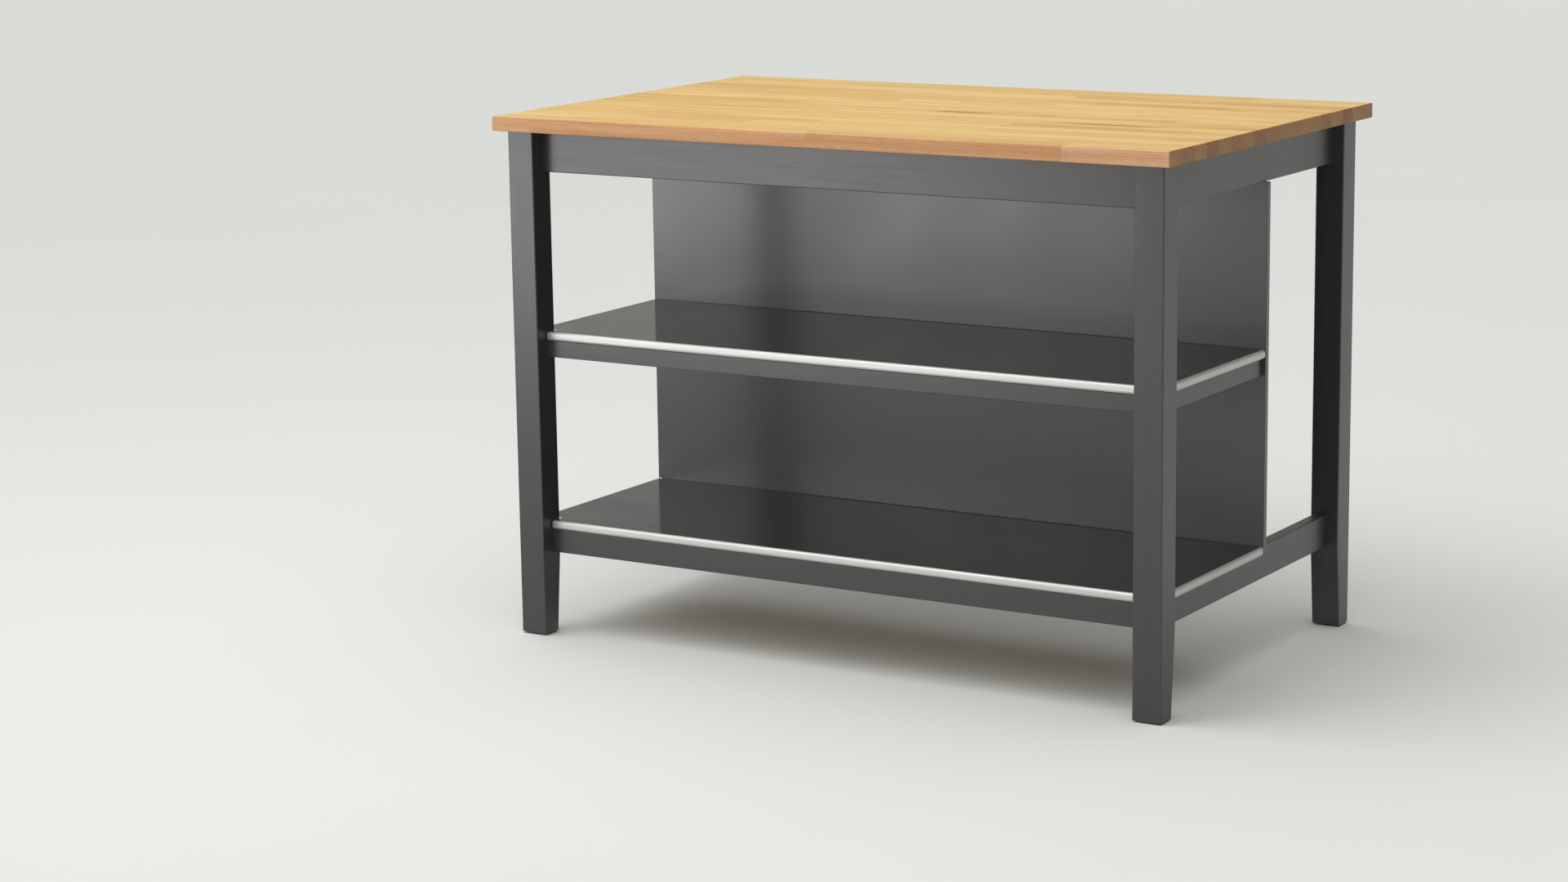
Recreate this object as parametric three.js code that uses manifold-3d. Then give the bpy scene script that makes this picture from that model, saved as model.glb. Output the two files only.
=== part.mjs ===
// A kitchen work table: an oiled butcher-block top on a lacquered wooden frame, with two
// steel-clad shelves in the front bay and an open knee space behind the back panel.
//
// Millimetres. X runs along the table, Y from the front to the back and Z up. The origin is
// on the floor, under the middle of the top. Left is -X and right is +X.
import * as THREE from "three";
import { mergeVertices } from "three/addons/utils/BufferGeometryUtils.js";
import Module from "manifold-3d";

// ---------------------------------------------------------------- driving dimensions

// Worktop
const TABLE_HEIGHT = 900;
const TOP_LENGTH = 1260;
const TOP_DEPTH = 790;
const TOP_THICKNESS = 25;
const TOP_EDGE_RADIUS = 2;
const SIDE_OVERHANG = 18; // top's end to the legs' outer faces
const FRONT_OVERHANG = 20;
const BACK_OVERHANG = 28;

// Legs
const LEG_WIDTH = 50; // along X
const LEG_DEPTH = 50; // along Y
const LEG_TAPER = 12; // taken off the inner Y face, from the lowest rail down
const GLIDE_HEIGHT = 3; // the glide holds the leg's end grain off the floor

// Rails
const RAIL_THICKNESS = 22;
const SIDE_RAIL_SETBACK = 8; // legs' inner faces to the side rails' inner faces
const APRON_HEIGHT = 71;
const MIDDLE_RAIL_HEIGHT = 29; // below the middle shelf
const LOWER_RAIL_HEIGHT = 41; // below the lower shelf

// Shelves and back panel
const MIDDLE_SHELF_TOP = 530;
const LOWER_SHELF_TOP = 200;
const SHELF_THICKNESS = 15;
const SHELF_DEPTH = 388; // front edge to the panel's front face
const SHELF_FRONT_LIP = 3.5; // past the front rails' faces
const SHELF_SIDE_LIP = 6.5; // past the side rails' outer faces
const SKIN_THICKNESS = 1;
const SKIN_RADIUS = 3; // rolled edge of the steel
const SKIN_RETURN = 16; // steel folded back under the board
const GLUE_GAP = 0.25; // between the board's edges and the rolled steel
const PANEL_THICKNESS = 12;

// Joints
const FIT_CLEARANCE = 0.25; // round every tenon, dowel, bolt and screw
const SHELF_CLEARANCE = 0.5; // shelves to legs and panel, and panel to rails
const TOP_CLEARANCE = 2; // panel's upper edge to the worktop
const TENON_THICKNESS = 10;
const TENON_SHOULDER = 6; // above and below a tenon, and beside a stub tenon
const TENON_OUTER_SHOULDER = 4; // side rail's outer face to its tenon
const TENON_LENGTH = 20; // into a leg
const STUB_LENGTH = 8; // cross rail into a side rail
const HOLE_BOTTOM = 1; // air left behind whatever ends in a blind hole

// Hidden fittings
const CAM_RADIUS = 7.25;
const CAM_HEIGHT = 16;
const CAM_SLOT_WIDTH = 8;
const CAM_FROM_LEG = 24; // rail's end to the cam's axis
const BOLT_THREAD_RADIUS = 3.25;
const BOLT_THREAD_LENGTH = 11; // into the leg
const BOLT_NECK_RADIUS = 2.5;
const BOLT_HEAD_RADIUS = 3.5;
const APRON_BOLT_HEIGHT = 25; // above the apron's lower edge
const DOWEL_RADIUS = 4;
const DOWEL_LENGTH = 30;
const DOWEL_IN_LEG = 12;
const DOWEL_CHAMFER = 1;
const DOWEL_BELOW_TOP = 20; // under the apron's upper edge
const SCREW_RADIUS = 2;
const SCREW_HEAD_RADIUS = 4;
const SCREW_HEAD_HEIGHT = 2.5;
const SCREW_TIP_LENGTH = 4;
const SCREW_LENGTH = 30;
const PANEL_SCREW_X = 300; // middle of the panel to the screws in its cross rails
const RECESS_WIDTH = 1; // cross recesses of cams and screws
const CAM_RECESS = { span: 7, depth: 2 };
const SCREW_RECESS = { span: 4, depth: 1.5 };
const BRACKET_LEG = 30;
const BRACKET_WIDTH = 18;
const BRACKET_THICKNESS = 2.5;
const BRACKET_HOLE_RADIUS = 2.25;
const BRACKET_SLOT_LENGTH = 8; // lets the top swell and shrink across the grain
const BRACKET_X = 380; // middle of the table to the brackets on the aprons
const GLIDE_RADIUS = 14;
const GLIDE_EDGE = 1;
const GLIDE_PIN_RADIUS = 2.5;
const GLIDE_PIN_LENGTH = 12;
const ROUND_SEGMENTS = 16;

// ---------------------------------------------------------------- places worked out from them

const TOP_UNDERSIDE = TABLE_HEIGHT - TOP_THICKNESS;
const APRON_BOTTOM = TOP_UNDERSIDE - APRON_HEIGHT;
const MIDDLE_SHELF_BOTTOM = MIDDLE_SHELF_TOP - SHELF_THICKNESS;
const MIDDLE_RAIL_BOTTOM = MIDDLE_SHELF_BOTTOM - MIDDLE_RAIL_HEIGHT;
const LOWER_SHELF_BOTTOM = LOWER_SHELF_TOP - SHELF_THICKNESS;
const LOWER_RAIL_BOTTOM = LOWER_SHELF_BOTTOM - LOWER_RAIL_HEIGHT;

// Distances from the middle of the table along X, the same to the left and to the right.
const LEG_OUTER_X = TOP_LENGTH / 2 - SIDE_OVERHANG;
const LEG_INNER_X = LEG_OUTER_X - LEG_WIDTH;
const SIDE_RAIL_INNER_X = LEG_INNER_X + SIDE_RAIL_SETBACK;
const SIDE_RAIL_OUTER_X = SIDE_RAIL_INNER_X + RAIL_THICKNESS;
const SIDE_TENON_OUTER_X = SIDE_RAIL_OUTER_X - TENON_OUTER_SHOULDER;
const SIDE_TENON_INNER_X = SIDE_TENON_OUTER_X - TENON_THICKNESS;
const SHELF_OUTER_X = SIDE_RAIL_OUTER_X + SHELF_SIDE_LIP;

// Places along Y.
const FRONT_LEG = { outerY: -TOP_DEPTH / 2 + FRONT_OVERHANG, inward: 1 };
const BACK_LEG = { outerY: TOP_DEPTH / 2 - BACK_OVERHANG, inward: -1 };
for (const leg of [FRONT_LEG, BACK_LEG]) {
  leg.innerY = leg.outerY + leg.inward * LEG_DEPTH;
  leg.footInnerY = leg.innerY - leg.inward * LEG_TAPER;
  leg.glideY = (leg.outerY + leg.footInnerY) / 2;
  leg.railOuterY = leg.innerY - leg.inward * RAIL_THICKNESS;
  leg.boltY = (leg.innerY + leg.railOuterY) / 2;
}
const SHELF_FRONT_Y = FRONT_LEG.railOuterY - SHELF_FRONT_LIP;
const PANEL_FRONT_Y = SHELF_FRONT_Y + SHELF_DEPTH;
const PANEL_BACK_Y = PANEL_FRONT_Y + PANEL_THICKNESS;
const CROSS_RAIL_FRONT_Y = PANEL_FRONT_Y - RAIL_THICKNESS;

// Long rails, held between two legs by a cam at each end.
const LONG_RAILS = [
  { name: "front_apron", leg: FRONT_LEG, bottom: APRON_BOTTOM, top: TOP_UNDERSIDE, isApron: true },
  { name: "back_apron", leg: BACK_LEG, bottom: APRON_BOTTOM, top: TOP_UNDERSIDE, isApron: true },
  { name: "middle_front_rail", leg: FRONT_LEG, bottom: MIDDLE_RAIL_BOTTOM, top: MIDDLE_SHELF_BOTTOM },
  { name: "lower_front_rail", leg: FRONT_LEG, bottom: LOWER_RAIL_BOTTOM, top: LOWER_SHELF_BOTTOM },
];
for (const rail of LONG_RAILS) {
  rail.boltZ = rail.isApron ? rail.bottom + APRON_BOLT_HEIGHT : (rail.bottom + rail.top) / 2;
  rail.dowelZ = rail.top - DOWEL_BELOW_TOP;
}

// Side rails, tenoned into the legs. The middle one stops at the panel, so it has no back part.
// The lower one is cut down at the front, so that the shelf lies flush with its back part.
const SIDE_RAILS = [
  { name: "side_apron", bottom: APRON_BOTTOM, frontTop: TOP_UNDERSIDE, backTop: TOP_UNDERSIDE },
  { name: "middle_side_rail", bottom: MIDDLE_RAIL_BOTTOM, frontTop: MIDDLE_SHELF_BOTTOM },
  {
    name: "lower_side_rail",
    bottom: LOWER_RAIL_BOTTOM,
    frontTop: LOWER_SHELF_BOTTOM,
    backTop: LOWER_SHELF_TOP,
  },
];

// Cross rails, in front of the panel, with a stub tenon into the side rail at each end.
const CROSS_RAILS = [
  { name: "panel_top_rail", bottom: APRON_BOTTOM, top: TOP_UNDERSIDE },
  { name: "middle_back_rail", bottom: MIDDLE_RAIL_BOTTOM, top: MIDDLE_SHELF_BOTTOM },
  { name: "lower_back_rail", bottom: LOWER_RAIL_BOTTOM, top: LOWER_SHELF_BOTTOM },
];

const SIDES = [
  { name: "left", x: -1 },
  { name: "right", x: 1 },
];
const AXIS = {
  x: new THREE.Vector3(1, 0, 0),
  y: new THREE.Vector3(0, 1, 0),
  z: new THREE.Vector3(0, 0, 1),
};

// ---------------------------------------------------------------- materials

function finish(color, roughness, metalness) {
  return new THREE.MeshStandardMaterial({ color, roughness, metalness });
}

const oiledOak = () => finish(0xd0a468, 0.5, 0);
const blackBrownLacquer = () => finish(0x3a3634, 0.45, 0);
const blackBrownPanel = () => finish(0x3e3b3b, 0.4, 0);
const satinSteel = () => finish(0xb9bab8, 0.28, 1);
const chipboard = () => finish(0xa98c63, 0.85, 0);
const zincPlate = () => finish(0xb4b6ba, 0.4, 1);
const beech = () => finish(0xcfa777, 0.7, 0);
const blackPlastic = () => finish(0x1e1e20, 0.5, 0);

// ---------------------------------------------------------------- solids

const wasm = await Module();
wasm.setup();

// A closed geometry as a manifold solid; triangles that vanish at a turned piece's axis are dropped.
function toSolid(geometry) {
  const bare = geometry.clone();
  bare.deleteAttribute("normal");
  bare.deleteAttribute("uv");
  const merged = mergeVertices(bare);
  const corners = merged.index.array;
  const kept = [];
  for (let i = 0; i < corners.length; i += 3) {
    const [a, b, c] = [corners[i], corners[i + 1], corners[i + 2]];
    if (a !== b && b !== c && c !== a) kept.push(a, b, c);
  }
  const vertProperties = new Float32Array(merged.attributes.position.array);
  return new wasm.Manifold(new wasm.Mesh({ numProp: 3, vertProperties, triVerts: new Uint32Array(kept) }));
}

function toGeometry(solid) {
  const mesh = solid.getMesh();
  const geometry = new THREE.BufferGeometry();
  geometry.setAttribute("position", new THREE.BufferAttribute(mesh.vertProperties, 3));
  geometry.setIndex(new THREE.BufferAttribute(mesh.triVerts, 1));
  geometry.computeVertexNormals();
  return geometry;
}

// The base with every other geometry joined to it, then every cutter taken out.
function shaped(base, { joined = [], cutters = [] }) {
  let solid = toSolid(base);
  for (const piece of joined) solid = solid.add(toSolid(piece));
  for (const cutter of cutters) solid = solid.subtract(toSolid(cutter));
  return toGeometry(solid);
}

// A box between two opposite corners, given in any order.
function block(corner, opposite) {
  const box = new THREE.Box3().setFromPoints([new THREE.Vector3(...corner), new THREE.Vector3(...opposite)]);
  const size = box.getSize(new THREE.Vector3());
  const middle = box.getCenter(new THREE.Vector3());
  return new THREE.BoxGeometry(size.x, size.y, size.z).translate(middle.x, middle.y, middle.z);
}

// A round bar from a point, along a unit direction.
function bar(start, direction, radius, length) {
  const geometry = new THREE.CylinderGeometry(radius, radius, length, ROUND_SEGMENTS);
  geometry.translate(0, length / 2, 0);
  geometry.applyQuaternion(new THREE.Quaternion().setFromUnitVectors(AXIS.y, direction));
  return geometry.translate(...start);
}

// A piece turned on the Y axis, from [radius, height] points that start and end on the axis.
function turned(profile) {
  return new THREE.LatheGeometry(profile.map(([r, y]) => new THREE.Vector2(r, y)), ROUND_SEGMENTS);
}

// A flat outline of [y, z] points, made solid between two X values.
function sideProfile(points, oneX, otherX) {
  const shape = new THREE.Shape(points.map(([y, z]) => new THREE.Vector2(y, z)));
  const depth = Math.abs(otherX - oneX);
  const geometry = new THREE.ExtrudeGeometry(shape, { depth, bevelEnabled: false });
  geometry.applyMatrix4(new THREE.Matrix4().makeBasis(AXIS.y, AXIS.z, AXIS.x));
  return geometry.translate(Math.min(oneX, otherX), 0, 0);
}

// A level board with this plan outline of [x, y] points, and its long edges rounded.
function roundedBoard(outline, bottom, top, radius) {
  const shape = new THREE.Shape(outline.map(([x, y]) => new THREE.Vector2(x, y)));
  const geometry = new THREE.ExtrudeGeometry(shape, {
    depth: top - bottom - 2 * radius,
    bevelThickness: radius,
    bevelSize: radius,
    bevelOffset: -radius,
    bevelSegments: 4,
  });
  return geometry.translate(0, 0, bottom + radius);
}

// Two crossed slots sunk into a face, for a screwdriver. The face looks along +Y.
function crossRecess(faceY, { span, depth }) {
  const low = [-span / 2, faceY - depth, -RECESS_WIDTH / 2];
  const high = [span / 2, faceY + depth, RECESS_WIDTH / 2];
  return [block(low, high), block(low.toReversed(), high.toReversed())];
}

// ---------------------------------------------------------------- the assembly

const table = new THREE.Group();
table.name = "butcher_block_table";

// Adds a named piece. Its geometry's Y axis is turned to point along the given direction.
function place(name, geometry, material, position = [0, 0, 0], direction = AXIS.y) {
  const mesh = new THREE.Mesh(geometry, material);
  mesh.name = name;
  mesh.position.set(...position);
  mesh.quaternion.setFromUnitVectors(AXIS.y, direction);
  table.add(mesh);
}

// ---------------------------------------------------------------- worktop

function worktop() {
  const [x, y] = [TOP_LENGTH / 2, TOP_DEPTH / 2];
  const outline = [[-x, -y], [x, -y], [x, y], [-x, y]];
  return roundedBoard(outline, TOP_UNDERSIDE, TABLE_HEIGHT, TOP_EDGE_RADIUS);
}

// ---------------------------------------------------------------- rails

// The tenon of a side rail, or with a clearance the mortise for it. It points away from the
// middle of the table along Y, into the leg.
function sideTenon(side, leg, bottom, top, clearance) {
  const length = clearance > 0 ? TENON_LENGTH + HOLE_BOTTOM : TENON_LENGTH;
  const low = [side.x * (SIDE_TENON_INNER_X - clearance), leg.innerY, bottom + TENON_SHOULDER - clearance];
  const tip = leg.innerY - leg.inward * length;
  return block(low, [side.x * (SIDE_TENON_OUTER_X + clearance), tip, top - TENON_SHOULDER + clearance]);
}

// The stub tenon of a cross rail, or with a clearance the mortise for it in the side rail.
function stubTenon(side, rail, clearance) {
  const length = clearance > 0 ? STUB_LENGTH + HOLE_BOTTOM : STUB_LENGTH;
  const frontY = CROSS_RAIL_FRONT_Y + TENON_SHOULDER - clearance;
  const backY = PANEL_FRONT_Y - TENON_SHOULDER + clearance;
  const low = [side.x * SIDE_RAIL_INNER_X, frontY, rail.bottom + TENON_SHOULDER - clearance];
  return block(low, [side.x * (SIDE_RAIL_INNER_X + length), backY, rail.top - TENON_SHOULDER + clearance]);
}

function longRail(rail) {
  const { leg, bottom, top, boltZ, dowelZ } = rail;
  const cutters = [];
  for (const side of SIDES) {
    const inwards = AXIS.x.clone().multiplyScalar(-side.x);
    const endX = side.x * LEG_INNER_X;
    const camX = side.x * (LEG_INNER_X - CAM_FROM_LEG);
    const intoRail = AXIS.y.clone().multiplyScalar(-leg.inward);
    const boltDepth = CAM_FROM_LEG + BOLT_HEAD_RADIUS + HOLE_BOTTOM;
    cutters.push(bar([endX, leg.boltY, boltZ], inwards, BOLT_HEAD_RADIUS + FIT_CLEARANCE, boltDepth));
    const camPocketRadius = CAM_RADIUS + FIT_CLEARANCE;
    const camPocketDepth = CAM_HEIGHT + FIT_CLEARANCE;
    cutters.push(bar([camX, leg.innerY, boltZ], intoRail, camPocketRadius, camPocketDepth));
    if (rail.isApron) {
      const dowelDepth = DOWEL_LENGTH - DOWEL_IN_LEG + HOLE_BOTTOM;
      cutters.push(bar([endX, leg.boltY, dowelZ], inwards, DOWEL_RADIUS + FIT_CLEARANCE, dowelDepth));
    }
  }
  return shaped(block([-LEG_INNER_X, leg.railOuterY, bottom], [LEG_INNER_X, leg.innerY, top]), { cutters });
}

// A side rail between the front leg and the back leg, or between the front leg and the panel.
function sideRail(side, rail, crossRail) {
  const { bottom, frontTop, backTop } = rail;
  const innerX = side.x * SIDE_RAIL_INNER_X;
  const outerX = side.x * SIDE_RAIL_OUTER_X;
  const frontPart = block([innerX, FRONT_LEG.innerY, bottom], [outerX, PANEL_FRONT_Y, frontTop]);
  const joined = [sideTenon(side, FRONT_LEG, bottom, frontTop, 0)];
  if (backTop) {
    joined.push(block([innerX, PANEL_FRONT_Y, bottom], [outerX, BACK_LEG.innerY, backTop]));
    joined.push(sideTenon(side, BACK_LEG, bottom, backTop, 0));
  }
  const cutters = [stubTenon(side, crossRail, FIT_CLEARANCE), ...PANEL_SCREWS.map(screwHole)];
  return shaped(frontPart, { joined, cutters });
}

function crossRail(rail) {
  const low = [-SIDE_RAIL_INNER_X, CROSS_RAIL_FRONT_Y, rail.bottom];
  const joined = SIDES.map((side) => stubTenon(side, rail, 0));
  const cutters = PANEL_SCREWS.map(screwHole);
  return shaped(block(low, [SIDE_RAIL_INNER_X, PANEL_FRONT_Y, rail.top]), { joined, cutters });
}

// ---------------------------------------------------------------- legs

function leg(side, row) {
  const { outerY, innerY, footInnerY, glideY, boltY } = row;
  const outline = [
    [outerY, GLIDE_HEIGHT],
    [footInnerY, GLIDE_HEIGHT],
    [innerY, LOWER_RAIL_BOTTOM],
    [innerY, TOP_UNDERSIDE],
    [outerY, TOP_UNDERSIDE],
  ];
  if (row.inward < 0) outline.reverse();
  const outwards = AXIS.x.clone().multiplyScalar(side.x);
  const innerX = side.x * LEG_INNER_X;
  const legX = side.x * (LEG_INNER_X + LEG_OUTER_X) / 2;
  const pinDepth = GLIDE_PIN_LENGTH + HOLE_BOTTOM;
  const cutters = [bar([legX, glideY, GLIDE_HEIGHT], AXIS.z, GLIDE_PIN_RADIUS + FIT_CLEARANCE, pinDepth)];
  for (const rail of LONG_RAILS.filter((candidate) => candidate.leg === row)) {
    const boltDepth = BOLT_THREAD_LENGTH + HOLE_BOTTOM;
    cutters.push(bar([innerX, boltY, rail.boltZ], outwards, BOLT_THREAD_RADIUS + FIT_CLEARANCE, boltDepth));
    if (rail.isApron) {
      const dowelDepth = DOWEL_IN_LEG + HOLE_BOTTOM;
      cutters.push(bar([innerX, boltY, rail.dowelZ], outwards, DOWEL_RADIUS + FIT_CLEARANCE, dowelDepth));
    }
  }
  for (const rail of SIDE_RAILS) {
    const top = row === FRONT_LEG ? rail.frontTop : rail.backTop;
    if (top) cutters.push(sideTenon(side, row, rail.bottom, top, FIT_CLEARANCE));
  }
  return shaped(sideProfile(outline, innerX, side.x * LEG_OUTER_X), { cutters });
}

function footGlide() {
  return turned([
    [0, 0],
    [GLIDE_RADIUS - GLIDE_EDGE, 0],
    [GLIDE_RADIUS, GLIDE_EDGE],
    [GLIDE_RADIUS, GLIDE_HEIGHT],
    [GLIDE_PIN_RADIUS, GLIDE_HEIGHT],
    [GLIDE_PIN_RADIUS, GLIDE_HEIGHT + GLIDE_PIN_LENGTH],
    [0, GLIDE_HEIGHT + GLIDE_PIN_LENGTH],
  ]);
}

// ---------------------------------------------------------------- shelves and panel

// The shelf's plan, cut out round the front legs and drawn in on every side by an inset.
function shelfOutline(inset) {
  const wingX = SHELF_OUTER_X - inset;
  const noseX = LEG_INNER_X - SHELF_CLEARANCE - inset;
  const frontY = SHELF_FRONT_Y + inset;
  const notchY = FRONT_LEG.innerY + SHELF_CLEARANCE + inset;
  const backY = PANEL_FRONT_Y - SHELF_CLEARANCE - inset;
  return [
    [-noseX, frontY],
    [noseX, frontY],
    [noseX, notchY],
    [wingX, notchY],
    [wingX, backY],
    [-wingX, backY],
    [-wingX, notchY],
    [-noseX, notchY],
  ];
}

// The sheet over the board: rolled over every edge and folded back underneath.
function shelfSkin(top) {
  const bottom = top - SHELF_THICKNESS;
  const innerRadius = SKIN_RADIUS - SKIN_THICKNESS;
  const outside = roundedBoard(shelfOutline(0), bottom, top, SKIN_RADIUS);
  const floorHole = new THREE.Shape(shelfOutline(SKIN_RETURN).map(([x, y]) => new THREE.Vector2(x, y)));
  const cutters = [
    roundedBoard(shelfOutline(SKIN_THICKNESS), bottom + SKIN_THICKNESS, top - SKIN_THICKNESS, innerRadius),
    new THREE.ExtrudeGeometry(floorHole, { depth: SHELF_THICKNESS / 2, bevelEnabled: false })
      .translate(0, 0, bottom - SKIN_THICKNESS),
  ];
  return shaped(outside, { cutters });
}

function shelfCore(top) {
  const outline = shelfOutline(SKIN_THICKNESS + GLUE_GAP);
  const bottom = top - SHELF_THICKNESS + SKIN_THICKNESS;
  return roundedBoard(outline, bottom, top - SKIN_THICKNESS, SKIN_RADIUS - SKIN_THICKNESS);
}

// The panel stands on the lower side rails. It is narrower between the aprons above and
// between the lower rails below.
function backPanel() {
  const narrowX = SIDE_RAIL_INNER_X - SHELF_CLEARANCE;
  const wide = block(
    [-SHELF_OUTER_X, PANEL_FRONT_Y, LOWER_SHELF_TOP],
    [SHELF_OUTER_X, PANEL_BACK_Y, APRON_BOTTOM - SHELF_CLEARANCE],
  );
  const narrow = block(
    [-narrowX, PANEL_FRONT_Y, LOWER_RAIL_BOTTOM],
    [narrowX, PANEL_BACK_Y, TOP_UNDERSIDE - TOP_CLEARANCE],
  );
  return shaped(wide, { joined: [narrow], cutters: PANEL_SCREWS.map(screwHole) });
}

// ---------------------------------------------------------------- fittings

// The bolt lies along Y: its thread below zero, its neck and ball head above.
function camBolt() {
  const neckEnd = CAM_FROM_LEG - BOLT_HEAD_RADIUS / 2;
  return turned([
    [0, -BOLT_THREAD_LENGTH],
    [BOLT_NECK_RADIUS, -BOLT_THREAD_LENGTH],
    [BOLT_THREAD_RADIUS, 1 - BOLT_THREAD_LENGTH],
    [BOLT_THREAD_RADIUS, 0],
    [BOLT_HEAD_RADIUS, 0],
    [BOLT_HEAD_RADIUS, 1],
    [BOLT_NECK_RADIUS, 1],
    [BOLT_NECK_RADIUS, neckEnd],
    [BOLT_HEAD_RADIUS, neckEnd + 1],
    [BOLT_HEAD_RADIUS, CAM_FROM_LEG + BOLT_HEAD_RADIUS / 2],
    [BOLT_NECK_RADIUS, CAM_FROM_LEG + BOLT_HEAD_RADIUS],
    [0, CAM_FROM_LEG + BOLT_HEAD_RADIUS],
  ]);
}

// The cam's face looks along +Y at the origin, and its slot opens to the bolt on the given side.
function camLock(slotX) {
  const body = turned([[0, -CAM_HEIGHT], [CAM_RADIUS, -CAM_HEIGHT], [CAM_RADIUS, 0], [0, 0]]);
  const half = CAM_SLOT_WIDTH / 2;
  const middle = -RAIL_THICKNESS / 2;
  const slotEnd = -slotX * (BOLT_HEAD_RADIUS + FIT_CLEARANCE);
  const slot = block([slotX * 2 * CAM_RADIUS, middle - half, -half], [slotEnd, middle + half, half]);
  return shaped(body, { cutters: [slot, ...crossRecess(0, CAM_RECESS)] });
}

function dowel() {
  return turned([
    [0, 0],
    [DOWEL_RADIUS - DOWEL_CHAMFER, 0],
    [DOWEL_RADIUS, DOWEL_CHAMFER],
    [DOWEL_RADIUS, DOWEL_LENGTH - DOWEL_CHAMFER],
    [DOWEL_RADIUS - DOWEL_CHAMFER, DOWEL_LENGTH],
    [0, DOWEL_LENGTH],
  ]);
}

// A countersunk screw: its head's face looks along +Y at the origin and its tip points down.
function screwProfile(clearance) {
  return [
    [0, -SCREW_LENGTH - clearance],
    [SCREW_RADIUS + clearance, SCREW_TIP_LENGTH - SCREW_LENGTH],
    [SCREW_RADIUS + clearance, -SCREW_HEAD_HEIGHT - clearance],
    [SCREW_HEAD_RADIUS + clearance, -clearance],
    [SCREW_HEAD_RADIUS + clearance, clearance],
    [0, clearance],
  ];
}

function panelScrew() {
  const body = turned(screwProfile(0).toSpliced(-2, 1));
  return shaped(body, { cutters: crossRecess(0, SCREW_RECESS) });
}

function screwHole({ x, z }) {
  return turned(screwProfile(FIT_CLEARANCE)).translate(x, PANEL_BACK_Y, z);
}

// An angle bracket in the corner between an apron's face, along Y, and the worktop above.
function bracket() {
  const [leg, thick] = [BRACKET_LEG, BRACKET_THICKNESS];
  const outline = [[0, 0], [0, -leg], [thick, -leg], [thick, -thick], [leg, -thick], [leg, 0]];
  const base = sideProfile(outline, -BRACKET_WIDTH / 2, BRACKET_WIDTH / 2);
  const holeZ = -(leg + thick) / 2;
  const slotHalf = BRACKET_SLOT_LENGTH / 2 - BRACKET_HOLE_RADIUS;
  const slotY = -holeZ;
  const down = AXIS.z.clone().negate();
  const cutters = [
    bar([0, -thick, holeZ], AXIS.y, BRACKET_HOLE_RADIUS, 3 * thick),
    bar([0, slotY - slotHalf, thick], down, BRACKET_HOLE_RADIUS, 3 * thick),
    bar([0, slotY + slotHalf, thick], down, BRACKET_HOLE_RADIUS, 3 * thick),
    block(
      [-BRACKET_HOLE_RADIUS, slotY - slotHalf, -2 * thick],
      [BRACKET_HOLE_RADIUS, slotY + slotHalf, thick],
    ),
  ];
  return shaped(base, { cutters });
}

// ---------------------------------------------------------------- where the fittings go

const middleRailZ = (MIDDLE_RAIL_BOTTOM + MIDDLE_SHELF_BOTTOM) / 2;
const PANEL_SCREWS = [
  ["top_left", -PANEL_SCREW_X, (APRON_BOTTOM + TOP_UNDERSIDE) / 2],
  ["top_right", PANEL_SCREW_X, (APRON_BOTTOM + TOP_UNDERSIDE) / 2],
  ["middle_left", -(SIDE_TENON_INNER_X + SIDE_TENON_OUTER_X) / 2, middleRailZ],
  ["middle_right", (SIDE_TENON_INNER_X + SIDE_TENON_OUTER_X) / 2, middleRailZ],
  ["lower_left", -PANEL_SCREW_X, (LOWER_RAIL_BOTTOM + LOWER_SHELF_BOTTOM) / 2],
  ["lower_right", PANEL_SCREW_X, (LOWER_RAIL_BOTTOM + LOWER_SHELF_BOTTOM) / 2],
].map(([name, x, z]) => ({ name, x, z }));

const bayMiddleY = (FRONT_LEG.innerY + CROSS_RAIL_FRONT_Y) / 2;
const TOWARDS_FRONT = AXIS.y.clone().negate();
const TOWARDS_LEFT = AXIS.x.clone().negate();
const BRACKETS = [
  { name: "front_left", position: [-BRACKET_X, FRONT_LEG.innerY, TOP_UNDERSIDE], facing: AXIS.y },
  { name: "front_right", position: [BRACKET_X, FRONT_LEG.innerY, TOP_UNDERSIDE], facing: AXIS.y },
  { name: "back_left", position: [-BRACKET_X, BACK_LEG.innerY, TOP_UNDERSIDE], facing: TOWARDS_FRONT },
  { name: "back_right", position: [BRACKET_X, BACK_LEG.innerY, TOP_UNDERSIDE], facing: TOWARDS_FRONT },
  { name: "side_left", position: [-SIDE_RAIL_INNER_X, bayMiddleY, TOP_UNDERSIDE], facing: AXIS.x },
  { name: "side_right", position: [SIDE_RAIL_INNER_X, bayMiddleY, TOP_UNDERSIDE], facing: TOWARDS_LEFT },
];

// ---------------------------------------------------------------- build

place("worktop", worktop(), oiledOak());

for (const side of SIDES) {
  for (const [rowName, row] of [["front", FRONT_LEG], ["back", BACK_LEG]]) {
    place(`leg_${rowName}_${side.name}`, leg(side, row), blackBrownLacquer());
    const footX = side.x * (LEG_INNER_X + LEG_OUTER_X) / 2;
    place(`foot_glide_${rowName}_${side.name}`, footGlide(), blackPlastic(), [footX, row.glideY, 0], AXIS.z);
  }
  SIDE_RAILS.forEach((rail, level) => {
    place(`${rail.name}_${side.name}`, sideRail(side, rail, CROSS_RAILS[level]), blackBrownLacquer());
  });
}

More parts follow.
